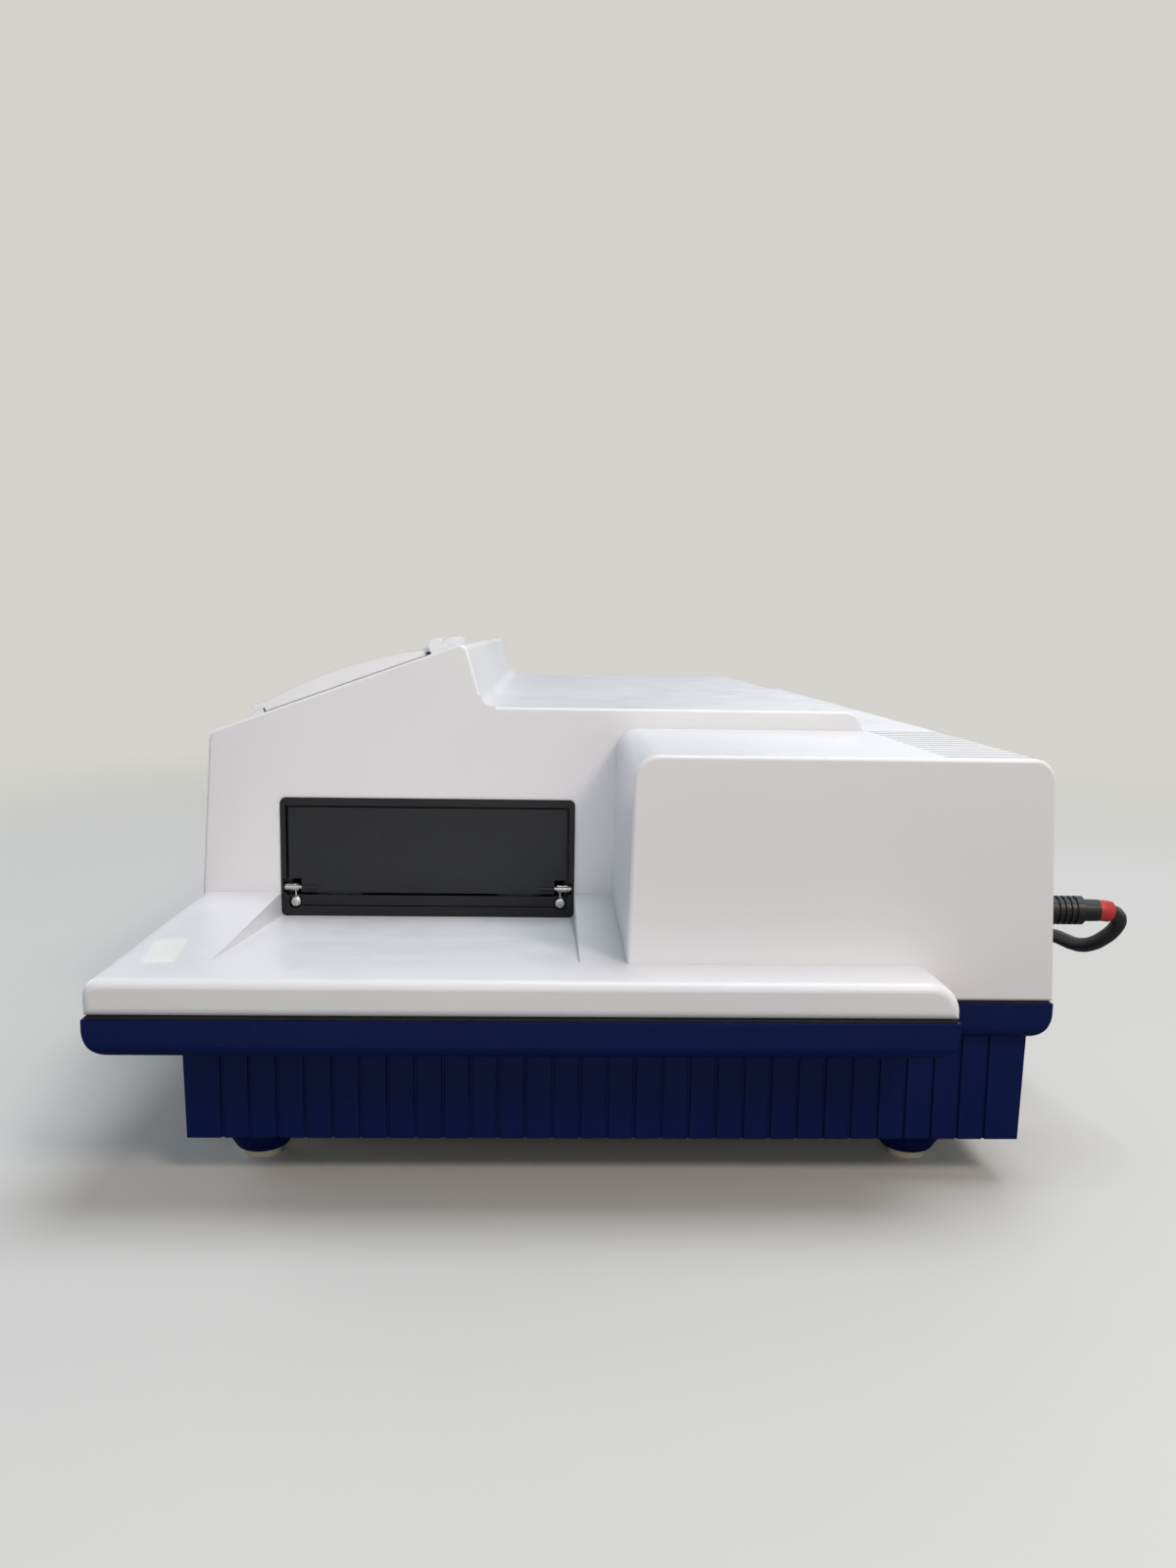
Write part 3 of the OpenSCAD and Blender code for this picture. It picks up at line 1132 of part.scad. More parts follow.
top_cover();
base_pan();
seam_gasket();
base_feet();
foot_pads();
cover_screws();
chassis_plate();
support_pillars();
rail_shafts();
rail_supports();
door_frame();
door_hinge_pins();
door_springs();
door_screws();
drive_motor();
idler_bracket();
timing_belt();
optics_bench();
lamp_module();
excitation_monochromator();
emission_monochromator();
filter_wheel_motor();
fibre_bundle();
read_head();
detector_tube();
main_board();
power_supply();
fan_frame();
rear_panel();
mains_inlet();
data_sockets();
signal_socket();
panel_overlay();
display_module();
keypad_board();
cuvette_collar();
cuvette_holder();
lid_hinge_bracket();
door_flap();
plate_carriage();
carriage_bearings();
belt_clamp();
drive_pulley();
idler_pulley();
fan_rotor();
filter_wheel();
cutoff_filters();
excitation_grating();
emission_grating();
power_rocker();
cuvette_lid();
key_1();
key_2();
key_3();
key_4();
signal_plug();
plug_ring();
cord_tube();
cord_coil();
far_plug();
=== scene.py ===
"""Looks of the bench microplate reader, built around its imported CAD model.

Every CAD node keeps its place. The visible ones are replaced by a copy of their own mesh with welded
corners, small edge roundings and smooth normals, and each one gets a procedural material. The signal
cord is one curve from its plug, down to the table and through its coil to the far plug. The blank label
and the rear panel's fasteners are made here alone.
Metres, in the CAD's frame: +X is the drawer side, -Y the front, +Z up.
"""

import json
import math

import bmesh
import bpy
from mathutils import Matrix, Vector

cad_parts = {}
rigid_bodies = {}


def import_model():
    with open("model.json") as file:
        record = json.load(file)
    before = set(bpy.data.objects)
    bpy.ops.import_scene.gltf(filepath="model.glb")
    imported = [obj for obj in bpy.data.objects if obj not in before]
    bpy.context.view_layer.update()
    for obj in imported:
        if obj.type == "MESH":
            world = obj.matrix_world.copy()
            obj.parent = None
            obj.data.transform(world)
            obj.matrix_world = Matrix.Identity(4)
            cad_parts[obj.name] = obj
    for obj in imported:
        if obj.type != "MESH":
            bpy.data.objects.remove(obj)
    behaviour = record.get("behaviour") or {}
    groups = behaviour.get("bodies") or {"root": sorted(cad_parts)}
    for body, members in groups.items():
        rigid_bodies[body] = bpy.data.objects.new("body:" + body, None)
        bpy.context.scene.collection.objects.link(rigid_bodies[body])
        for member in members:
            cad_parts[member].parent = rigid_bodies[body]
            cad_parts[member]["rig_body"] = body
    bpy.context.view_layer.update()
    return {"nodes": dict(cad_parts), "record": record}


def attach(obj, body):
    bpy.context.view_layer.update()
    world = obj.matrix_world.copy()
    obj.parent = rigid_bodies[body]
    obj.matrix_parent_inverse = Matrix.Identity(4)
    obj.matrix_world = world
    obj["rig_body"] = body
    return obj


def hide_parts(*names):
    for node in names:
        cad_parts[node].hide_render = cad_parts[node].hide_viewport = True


MM = 0.001

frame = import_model()
slot_of = {part["node"]: part["material_slot"] for part in frame["record"]["subparts"]}
scene = bpy.context.scene


def srgb(red, green, blue):
    """A colour written as 0-255 screen values, as the linear colour that Blender's nodes take."""
    def linear(value):
        share = value / 255
        return share / 12.92 if share <= 0.04045 else ((share + 0.055) / 1.055) ** 2.4
    return (linear(red), linear(green), linear(blue), 1.0)


# ---- Camera at the photograph's view ----

PHOTO_HEIGHT_PX = 1600
FOCAL_PX = 1220
SENSOR_MM = 36
CAMERA_AT = Vector((0.7280, -0.01452, 0.22773))
# in radians: yaw from -X towards +Y, pitch downwards, and roll that lifts the camera's right side
YAW, PITCH, ROLL = 0.03103, 0.12977, 0.01492


def place_camera():
    forward = Vector((-math.cos(YAW) * math.cos(PITCH), math.sin(YAW) * math.cos(PITCH), -math.sin(PITCH)))
    level = Vector((math.sin(YAW), math.cos(YAW), 0))
    upright = level.cross(forward)
    right = math.cos(ROLL) * level + math.sin(ROLL) * upright
    up = -math.sin(ROLL) * level + math.cos(ROLL) * upright
    data = bpy.data.cameras.new("photo_camera")
    data.sensor_fit = "AUTO"
    data.sensor_width = SENSOR_MM
    data.lens = FOCAL_PX / PHOTO_HEIGHT_PX * SENSOR_MM
    camera = bpy.data.objects.new("photo_camera", data)
    scene.collection.objects.link(camera)
    turned = Matrix((right, up, -forward)).transposed().to_4x4()
    camera.matrix_world = Matrix.Translation(CAMERA_AT) @ turned
    scene.camera = camera


place_camera()


# ---- Signal cord ----

CORD_RADIUS = 3.25 * MM
COIL_CENTRE = Vector((-60, 249)) * MM
COIL_RADII = [45 * MM, 38.5 * MM, 32 * MM]
LOWER_Z = 3.4 * MM
UPPER_Z = 9.9 * MM
TURNS_PER_LAYER = 3
STEP_DEG = 10
# a turn of the coil steps inwards, climbs or steps outwards over MOVE_DEG, from these angles on
MOVE_DEG = 40
INWARDS_AT, CLIMB_AT, OUTWARDS_AT = 320, 280, 240
# the chosen route from the plug's sleeve down to the table and along it to the coil, and from the coil to
# the far plug, in millimetres, as in part.scad
ROUTE = [(225, 224, 109), (224.3, 229.6, 108.3), (222.7, 233.7, 106.7), (220.2, 236.3, 103.2),
         (217, 235.9, 98.4), (213, 233.4, 93.5), (208, 230.8, 89.6), (202, 229.2, 87.3),
         (195.5, 227.8, 86.3), (189, 226.4, 86.3), (182.5, 225.4, 86.2), (176, 224.6, 84.9),
         (170, 224, 82), (164.5, 223.8, 77.4), (160, 224, 71), (156, 224.3, 63.5), (152, 224.8, 55),
         (148, 225.4, 46), (143.5, 226.2, 37), (138, 227.2, 28), (130.5, 228.4, 19.4), (121, 229.8, 12.2),
         (109, 231, 7), (96, 231.4, 4.2), (82, 230, 3.4), (66, 226, 3.4), (50, 221, 3.4), (28, 214, 3.4),
         (5, 208, 3.4), (-18, 205, 3.4), (-40, 204, 3.4), (-60, 204, 3.4)]
TAIL = [(-60, 204, 9.9), (-75, 204, 9.3), (-90, 204, 8), (-104, 204, 6.8), (-118, 204, 6.4)]


def ease(share):
    share = min(max(share, 0), 1)
    return share * share * (3 - 2 * share)


def coil_points():
    """Three turns inwards on the table, a climb, and three turns outwards on top of them. The turns step
    sideways in one sector and climb in the next, so that they lie beside and on each other."""
    points = []
    innermost = TURNS_PER_LAYER - 1
    last = 2 * TURNS_PER_LAYER - 1
    for step in range(1, 2 * TURNS_PER_LAYER * 360 // STEP_DEG):
        turned = step * STEP_DEG
        turn, within = divmod(turned, 360)
        if turn <= innermost:
            shift = turn + ease((within - INWARDS_AT) / MOVE_DEG) if turn < innermost else innermost
            climbed = ease((within - CLIMB_AT) / MOVE_DEG) if turn == innermost else 0
            z = LOWER_Z + (UPPER_Z - LOWER_Z) * climbed
        else:
            shift = last - turn - ease((within - OUTWARDS_AT) / MOVE_DEG) if turn < last else 0
            z = UPPER_Z
        inner = min(int(shift), innermost - 1)
        radius = COIL_RADII[inner] + (COIL_RADII[inner + 1] - COIL_RADII[inner]) * (shift - inner)
        angle = math.radians(-90 - turned)
        around = Vector((radius * math.cos(angle), radius * math.sin(angle)))
        points.append((COIL_CENTRE + around).to_3d() + Vector((0, 0, z)))
    return points


def cord_curve():
    """The cord as one open curve, and its length. Each point's radius is the cord's own."""
    points = [Vector(p) * MM for p in ROUTE] + coil_points() + [Vector(p) * MM for p in TAIL]
    data = bpy.data.curves.new("signal_cord", "CURVE")
    data.dimensions = "3D"
    data.bevel_depth = 1.0
    data.bevel_resolution = 5
    data.resolution_u = 4
    data.use_fill_caps = True
    spline = data.splines.new("BEZIER")
    spline.bezier_points.add(len(points) - 1)
    for bezier, point in zip(spline.bezier_points, points):
        bezier.co = point
        bezier.radius = CORD_RADIUS
        bezier.handle_left_type = bezier.handle_right_type = "AUTO"
    curve = bpy.data.objects.new("signal_cord", data)
    scene.collection.objects.link(curve)
    bpy.context.view_layer.update()
    return curve, spline.calc_length()


cord, cord_length = cord_curve()
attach(cord, "instrument")
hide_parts("cord_tube", "cord_coil")


# ---- Node helpers for the materials ----

class Shader:
    """One material's node tree, with short names for the nodes that the materials below share."""

    # the Mix node's sockets for colours
    SHARE, COLOUR, OTHER, MIXED = 0, 6, 7, 2

    def __init__(self, name):
        self.material = bpy.data.materials.new(name)
        self.material.use_nodes = True
        self.tree = self.material.node_tree
        self.bsdf = self.tree.nodes["Principled BSDF"]
        self.place = self.node("ShaderNodeTexCoord").outputs["Object"]

    def node(self, kind, **settings):
        made = self.tree.nodes.new(kind)
        for name, value in settings.items():
            setattr(made, name, value)
        return made

    def link(self, value, socket):
        """Sets a socket to a number or a colour, or links it to another node's output."""
        if isinstance(value, bpy.types.NodeSocket):
            self.tree.links.new(value, socket)
        else:
            socket.default_value = value

    def noise(self, scale, detail=2.0, roughness=0.5, stretch=(1, 1, 1)):
        mapping = self.node("ShaderNodeMapping")
        mapping.inputs["Scale"].default_value = stretch
        self.link(self.place, mapping.inputs["Vector"])
        made = self.node("ShaderNodeTexNoise")
        self.link(mapping.outputs["Vector"], made.inputs["Vector"])
        made.inputs["Scale"].default_value = scale
        made.inputs["Detail"].default_value = detail
        made.inputs["Roughness"].default_value = roughness
        return made.outputs["Fac"]

    def cells(self, scale):
        made = self.node("ShaderNodeTexVoronoi")
        self.link(self.place, made.inputs["Vector"])
        made.inputs["Scale"].default_value = scale
        return made.outputs["Distance"]

    def steps(self, value, low, high, from_low=0.3, from_high=0.7):
        """Spreads a 0-1 pattern over the range low to high."""
        made = self.node("ShaderNodeMapRange")
        self.link(value, made.inputs["Value"])
        made.inputs["From Min"].default_value = from_low
        made.inputs["From Max"].default_value = from_high
        made.inputs["To Min"].default_value = low
        made.inputs["To Max"].default_value = high
        return made.outputs["Result"]

    def mix(self, share, colour, other):
        made = self.node("ShaderNodeMix", data_type="RGBA")
        self.link(share, made.inputs[self.SHARE])
        self.link(colour, made.inputs[self.COLOUR])
        self.link(other, made.inputs[self.OTHER])
        return made.outputs[self.MIXED]

    def math(self, operation, value, other=0.0):
        made = self.node("ShaderNodeMath", operation=operation)
        self.link(value, made.inputs[0])
        self.link(other, made.inputs[1])
        return made.outputs[0]

    def axis(self, name):
        made = self.node("ShaderNodeSeparateXYZ")
        self.link(self.place, made.inputs[0])
        return made.outputs[name]

    def bump(self, height, depth, strength=1.0, normal=None):
        made = self.node("ShaderNodeBump")
        made.inputs["Strength"].default_value = strength
        made.inputs["Distance"].default_value = depth
        self.link(height, made.inputs["Height"])
        if normal is not None:
            self.link(normal, made.inputs["Normal"])
        return made.outputs["Normal"]

    def soft_edges(self, radius):
        made = self.node("ShaderNodeBevel", samples=4)
        made.inputs["Radius"].default_value = radius
        return made.outputs["Normal"]

    def finish(self, colour, roughness, normal=None, metallic=0.0, **sockets):
        self.link(colour, self.bsdf.inputs["Base Color"])
        self.link(roughness, self.bsdf.inputs["Roughness"])
        self.bsdf.inputs["Metallic"].default_value = metallic
        if normal is not None:
            self.link(normal, self.bsdf.inputs["Normal"])
        for name, value in sockets.items():
            self.bsdf.inputs[name.replace("_", " ")].default_value = value
        return self.material


# In the materials, scales are per metre, and depths and radii are in metres.
# Dust lies as specks of this share of a cell, in the places where a slow noise is above DUSTY.
DUST_CELLS = 260
SPECK = 0.055
DUSTY = 0.56
DUST_STRENGTH = 0.5

TARNISH = (0.35, 0.34, 0.33, 1)
SOLDER_RESIST = (0.012, 0.085, 0.035, 1)
COPPER_RUNS = (0.03, 0.17, 0.07, 1)
BOARD_RUNS = 160
DISPLAY_FIELD_END_X = -0.113
KEY_FIELD_START_X = -0.107
DISPLAY_CELLS = 320
RULINGS = 1800
# the grating's two faint colours: painted sheen, standing in for the light that its rulings split
PAINTED_SHEEN_BLUE, PAINTED_SHEEN_VIOLET = (0.55, 0.62, 0.75, 1), (0.75, 0.7, 0.85, 1)
AMBER, DEEP_AMBER = (0.8, 0.4, 0.08, 1), (0.6, 0.25, 0.05, 1)


def moulded(name, colour, patch, roughness, grain=1500, depth=0.02 * MM, edge=0, dust=None, specular=0.5):
    """Moulded plastic: a fine spark-eroded grain, slow changes of tone and gloss, and a little dust."""
    s = Shader(name)
    tone = s.mix(s.steps(s.noise(7, detail=3), 0, 1), colour, patch)
    if dust is not None:
        specks = s.math("LESS_THAN", s.cells(DUST_CELLS), SPECK)
        sparse = s.math("GREATER_THAN", s.noise(23, detail=1), DUSTY)
        tone = s.mix(s.math("MULTIPLY", s.math("MULTIPLY", specks, sparse), DUST_STRENGTH), tone, dust)
    gloss = s.steps(s.noise(60, detail=4), roughness - 0.05, roughness + 0.06)
    normal = s.bump(s.noise(grain), depth, strength=0.5, normal=s.soft_edges(edge) if edge else None)
    return s.finish(tone, gloss, normal, Specular_IOR_Level=specular)


def metal(name, colour, roughness, brushed=(1, 1, 1)):
    """Bare metal, brushed along the axis that brushed leaves smallest."""
    s = Shader(name)
    streaks = s.noise(900, detail=3, roughness=0.6, stretch=brushed)
    tone = s.mix(s.steps(s.noise(40, detail=3), 0, 0.35), colour, TARNISH)
    normal = s.bump(streaks, 0.01 * MM, strength=0.4)
    return s.finish(tone, s.steps(streaks, roughness - 0.08, roughness + 0.1), normal, metallic=1.0)


def rubber(name, colour, roughness, grain=900, depth=0.05 * MM):
    """Matt rubber with a fine grain and paler worn patches."""
    s = Shader(name)
    worn = tuple(min(c * 1.7 + 0.008, 1) for c in colour[:3]) + (1,)
    tone = s.mix(s.steps(s.noise(35, detail=4), 0, 0.6), colour, worn)
    gloss = s.steps(s.noise(120, detail=3), roughness - 0.08, roughness + 0.08)
    return s.finish(tone, gloss, s.bump(s.noise(grain, detail=3), depth, strength=0.6))


def circuit_board(name):
    """Green solder resist over faint copper runs."""
    s = Shader(name)
    brick = s.node("ShaderNodeTexBrick")
    s.link(s.place, brick.inputs["Vector"])
    brick.inputs["Scale"].default_value = BOARD_RUNS
    brick.inputs["Mortar Size"].default_value = 0.03
    tone = s.mix(brick.outputs["Fac"], SOLDER_RESIST, COPPER_RUNS)
    return s.finish(tone, 0.35, s.bump(brick.outputs["Fac"], 0.03 * MM, strength=0.5))


def printed_film(name):
    """The control panel's film: blue-grey, with a dark field round the display and a paler keypad field."""
    s = Shader(name)
    x = s.axis("X")
    display_field = s.math("LESS_THAN", x, DISPLAY_FIELD_END_X)
    key_field = s.math("GREATER_THAN", x, KEY_FIELD_START_X)
    border, dark, pale, worn = srgb(96, 116, 142), srgb(24, 38, 74), srgb(134, 150, 170), srgb(70, 82, 100)
    tone = s.mix(display_field, border, dark)
    tone = s.mix(key_field, tone, pale)
    tone = s.mix(s.steps(s.noise(30, detail=3), 0, 0.15), tone, worn)
    grain = s.bump(s.noise(2600, detail=1), 0.01 * MM, strength=0.4)
    return s.finish(tone, s.steps(s.noise(90), 0.28, 0.36), grain, Coat_Weight=0.2)


def display_glass(name):
    """A switched-off display behind its window, with the faint grid of its cells."""
    s = Shader(name)
    wave = s.node("ShaderNodeTexWave", wave_type="BANDS", bands_direction="X")
    s.link(s.place, wave.inputs["Vector"])
    wave.inputs["Scale"].default_value = DISPLAY_CELLS
    cells = s.steps(wave.outputs["Fac"], 0, 0.25, from_low=0, from_high=1)
    tone = s.mix(cells, srgb(42, 56, 44), srgb(64, 80, 62))
    return s.finish(tone, s.steps(s.noise(25), 0.08, 0.14), Coat_Weight=0.6)


def ruled_mirror(name):
    """A grating's mirror, with its rulings, and painted sheen along them in two faint colours, standing in
    for the light that the rulings split.
    """
    s = Shader(name)
    wave = s.node("ShaderNodeTexWave", wave_type="BANDS", bands_direction="Y")
    s.link(s.place, wave.inputs["Vector"])
    wave.inputs["Scale"].default_value = RULINGS
    # painted sheen: the rulings' bands alternate between the two faint colours
    tone = s.mix(wave.outputs["Fac"], PAINTED_SHEEN_BLUE, PAINTED_SHEEN_VIOLET)
    rulings = s.bump(wave.outputs["Fac"], 0.005 * MM, strength=0.4)
    return s.finish(tone, 0.12, rulings, metallic=1.0)


def coloured_glass(name):
    """The amber glass of the cut-off filters."""
    s = Shader(name)
    tone = s.mix(s.steps(s.noise(60), 0, 0.3), AMBER, DEEP_AMBER)
    return s.finish(tone, 0.06, Transmission_Weight=0.8, IOR=1.5)


WHITE = srgb(233, 232, 233)
WHITE_PATCH = srgb(229, 228, 230)
NAVY = srgb(3, 20, 72)
NAVY_PATCH = srgb(4, 22, 76)
CHARCOAL = srgb(26, 28, 32)

materials = {
    "cover": moulded("cover_plastic", WHITE, WHITE_PATCH, 0.34, edge=0.7 * MM, dust=srgb(196, 196, 196)),
    "base": moulded("base_plastic", NAVY, NAVY_PATCH, 0.45, grain=1100, depth=0.04 * MM, edge=0.7 * MM,
                    dust=srgb(70, 78, 104), specular=0.15),
    "seam": rubber("seam_rubber", srgb(14, 15, 20), 0.7),
    "pad": rubber("pad_rubber", srgb(176, 166, 146), 0.7),
    "screw": metal("plated_screw", (0.62, 0.61, 0.6, 1), 0.28),
    "chassis": metal("chassis_sheet", (0.6, 0.61, 0.63, 1), 0.38, (0.03, 1, 1)),
    "steel": metal("ground_steel", (0.6, 0.6, 0.61, 1), 0.24, (0.05, 1, 1)),
    "spring": metal("spring_steel", (0.66, 0.64, 0.6, 1), 0.26),
    "bearing": metal("anodised_block", (0.5, 0.51, 0.54, 1), 0.42),
    "pulley": metal("turned_pulley", (0.6, 0.61, 0.62, 1), 0.3),
    "frame": moulded("frame_plastic", srgb(21, 21, 25), srgb(25, 25, 29), 0.42, grain=1400, depth=0.05 * MM,
                     dust=srgb(104, 100, 95), specular=0.28),
    "flap": moulded("flap_plastic", CHARCOAL, srgb(29, 31, 35), 0.38, grain=1800, depth=0.03 * MM,
                    dust=srgb(112, 108, 102), specular=0.28),
    "motor": moulded("motor_paint", srgb(28, 28, 30), srgb(33, 33, 35), 0.4),
    "belt": rubber("belt_rubber", srgb(22, 22, 23), 0.75),
    "housing": moulded("anodised_housing", srgb(24, 26, 29), srgb(29, 31, 35), 0.45),
    "fibre": rubber("fibre_sheath", srgb(20, 20, 22), 0.55),
    "head": moulded("head_plastic", srgb(24, 24, 26), srgb(28, 28, 30), 0.5),
    "board": circuit_board("circuit_board"),
    "fan": moulded("fan_plastic", srgb(27, 27, 29), srgb(31, 31, 34), 0.45),
    "socket_black": moulded("inlet_plastic", srgb(22, 22, 24), srgb(26, 26, 28), 0.3),
    "socket_metal": metal("nickel_socket", (0.55, 0.54, 0.5, 1), 0.3),
    "overlay": printed_film("panel_film"),
    "display": display_glass("display_window"),
    "holder": moulded("holder_plastic", srgb(26, 26, 27), srgb(31, 31, 33), 0.5),
    "carriage": moulded("carriage_plastic", srgb(52, 53, 57), srgb(58, 59, 64), 0.45, depth=0.05 * MM,
                        dust=srgb(120, 118, 112)),
    "wheel": metal("anodised_wheel", (0.08, 0.08, 0.09, 1), 0.45),
    "filter_glass": coloured_glass("filter_glass"),
    "grating": ruled_mirror("ruled_grating"),
    "key": moulded("key_rubber", srgb(70, 84, 112), srgb(64, 78, 106), 0.5, grain=2200, depth=0.04 * MM),
    "plug": moulded("plug_plastic", srgb(18, 19, 22), srgb(24, 24, 26), 0.4),
    "ring": moulded("marker_ring", srgb(186, 52, 48), srgb(170, 42, 40), 0.35),
    "cord": rubber("cord_sheath", srgb(27, 26, 29), 0.45, grain=700, depth=0.08 * MM),
}


# ---- Dressed copies of the visible CAD nodes ----

WELD = 0.002 * MM
# neighbouring faces within FLAT are one flat region, and an edge past SHARP stays sharp
FLAT = math.radians(0.15)
SHARP = math.radians(32)
TINY_AREA = 1e-11
# the flat faces that are joined before the rounding, and the edges that the rounding takes
JOINED = math.radians(0.3)
ROUNDED = math.radians(45)
# the rounding put on each visible node's edges, in millimetres; 0 keeps its own edges
EDGE_ROUNDINGS = {
    "top_cover": 0, "base_pan": 0, "base_feet": 0, "foot_pads": 0.4, "seam_gasket": 0, "cover_screws": 0.15,
    "door_frame": 0.25, "door_flap": 0.3, "door_springs": 0, "door_screws": 0.1, "door_hinge_pins": 0,
    "cuvette_lid": 0.3, "lid_hinge_bracket": 0.4, "cuvette_collar": 0.4, "cuvette_holder": 0.3,
    "panel_overlay": 0.1, "display_module": 0.1, "key_1": 0.4, "key_2": 0.4, "key_3": 0.4, "key_4": 0.4,
    "rear_panel": 0.15, "mains_inlet": 0.3, "power_rocker": 0.3, "data_sockets": 0.15,
    "fan_frame": 0.2, "fan_rotor": 0, "signal_socket": 0.2, "signal_plug": 0, "plug_ring": 0.25,
    "far_plug": 0, "plate_carriage": 0.3, "carriage_bearings": 0.3, "rail_shafts": 0, "cutoff_filters": 0,
    "read_head": 0.3,
}
# the marker ring ends here, seen in the photograph: a point on the cord's first bend, and the cord's
# direction there
RING_END = Vector((224.38, 229.2, 108.38)) * MM
RING_DIRECTION = Vector((-0.2302, 0.9455, -0.2302))
# how far each door screw's recess is turned from upright, to either side
DOOR_SCREW_TURN_DEG = 24
# the floor of a cross recess is this much of its mouth
RECESS_TAPER = 0.5


def paint(obj, slot):
    obj.data.materials.clear()
    obj.data.materials.append(materials[slot])
    for polygon in obj.data.polygons:
        polygon.material_index = 0


def flat_regions(shape):
    """Numbers each face by the flat region it lies in, and gives each region's area and direction."""
    region = [-1] * len(shape.faces)
    areas, directions = [], []
    for seed in shape.faces:
        if region[seed.index] >= 0 or seed.calc_area() < TINY_AREA:
            continue
        region[seed.index] = len(areas)
        waiting, area = [seed], 0.0
        while waiting:
            face = waiting.pop()
            area += face.calc_area()
            for edge in face.edges:
                for other in edge.link_faces:
                    if region[other.index] < 0 and (other.calc_area() < TINY_AREA
                                                    or other.normal.angle(seed.normal) < FLAT):
                        region[other.index] = region[seed.index]
                        waiting.append(other)
        areas.append(area)
        directions.append(seed.normal.copy())
    return region, areas, directions


def set_normals(mesh):
    """Smooth normals that keep each flat region flat right up to the roundings beside it."""
    shape = bmesh.new()
    shape.from_mesh(mesh)
    shape.normal_update()
    shape.faces.ensure_lookup_table()
    region, areas, directions = flat_regions(shape)
    for edge in shape.edges:
        beside = [region[face.index] for face in edge.link_faces]
        edge.smooth = (len(beside) == 2 and min(beside) >= 0
                       and directions[beside[0]].angle(directions[beside[1]]) < SHARP)
    normals = {}
    for vertex in shape.verts:
        left = set(vertex.link_loops)
        while left:
            fan, waiting = [], [left.pop()]
            while waiting:
                loop = waiting.pop()
                fan.append(loop)
                for edge in (loop.edge, loop.link_loop_prev.edge):
                    if edge.smooth:
                        near = [other for other in left if other.face in edge.link_faces]
                        left.difference_update(near)
                        waiting.extend(near)
            found = {region[loop.face.index] for loop in fan} - {-1}
            normal = sum((directions[i] * areas[i] for i in found), Vector())
            for loop in fan:
                normals[loop.index] = normal.normalized() if normal.length > 0 else Vector((0, 0, 1))
    shape.to_mesh(mesh)
    shape.free()
    for polygon in mesh.polygons:
        polygon.use_smooth = True
    mesh.normals_split_custom_set([normals[i] for i in range(len(normals))])


def bevelled(skin, rounding):
    """The skin's mesh with its sharp edges rounded."""
    bevel = skin.modifiers.new("edge_rounding", "BEVEL")
    bevel.width = rounding
    bevel.segments = 2
    bevel.limit_method = "ANGLE"
    bevel.angle_limit = ROUNDED
    bevel.use_clamp_overlap = True
    graph = bpy.context.evaluated_depsgraph_get()
    mesh = bpy.data.meshes.new_from_object(skin.evaluated_get(graph))
    skin.modifiers.clear()
    return mesh


def closed_form(rings):
    """A closed bmesh through rings of points, all of the same number, from the lowest ring up."""
    shape = bmesh.new()
    rings = [[shape.verts.new(point) for point in ring] for ring in rings]
    shape.faces.new(list(reversed(rings[0])))
    shape.faces.new(rings[-1])
    for low, high in zip(rings, rings[1:]):
        for i, _ in enumerate(low):
            j = (i + 1) % len(low)
            shape.faces.new((low[i], low[j], high[j], high[i]))
    return shape


def make_object(name, shape):
    """A new object in the scene from a bmesh, which is used up."""
    mesh = bpy.data.meshes.new(name)
    shape.to_mesh(mesh)
    shape.free()
    made = bpy.data.objects.new(name, mesh)
    scene.collection.objects.link(made)
    return made


def add_copy(shape, mesh, matrix):
    """Adds a mesh to a bmesh, in the place that the matrix gives it."""
    before = len(shape.verts)
    shape.from_mesh(mesh)
    shape.verts.ensure_lookup_table()
    bmesh.ops.transform(shape, matrix=matrix, verts=shape.verts[before:])


def turned_head(profile, sides):
    """A closed turned form about Z: profile gives radius and height pairs, from the rim to the top."""
    angles = [math.tau * i / sides for i in range(sides)]
    return closed_form([[(r * math.cos(angle), r * math.sin(angle), z) for angle in angles]
                        for r, z in profile])


def cross_cutter(arm, half, floor, top):
    """The space of a screwdriver's cross tip about Z, from floor up to top, narrower at its floor."""
    plan = [(arm, half), (half, half), (half, arm), (-half, arm), (-half, half), (-arm, half),
            (-arm, -half), (-half, -half), (-half, -arm), (half, -arm), (half, -half), (arm, -half)]
    return closed_form([[(x * RECESS_TAPER, y * RECESS_TAPER, floor) for x, y in plan],
                        [(x, y, top) for x, y in plan]])


def cut_away(shape, cutter):
    """The first bmesh less the second, as a mesh."""
    for form in (shape, cutter):
        bmesh.ops.recalc_face_normals(form, faces=form.faces)
    head, recess = make_object("head", shape), make_object("recess", cutter)
    cut = head.modifiers.new("cut", "BOOLEAN")
    cut.operation = "DIFFERENCE"
    cut.solver = "EXACT"
    cut.object = recess
    mesh = bpy.data.meshes.new_from_object(head.evaluated_get(bpy.context.evaluated_depsgraph_get()))
    for obj in (head, recess):
        bpy.data.objects.remove(obj)
    return mesh


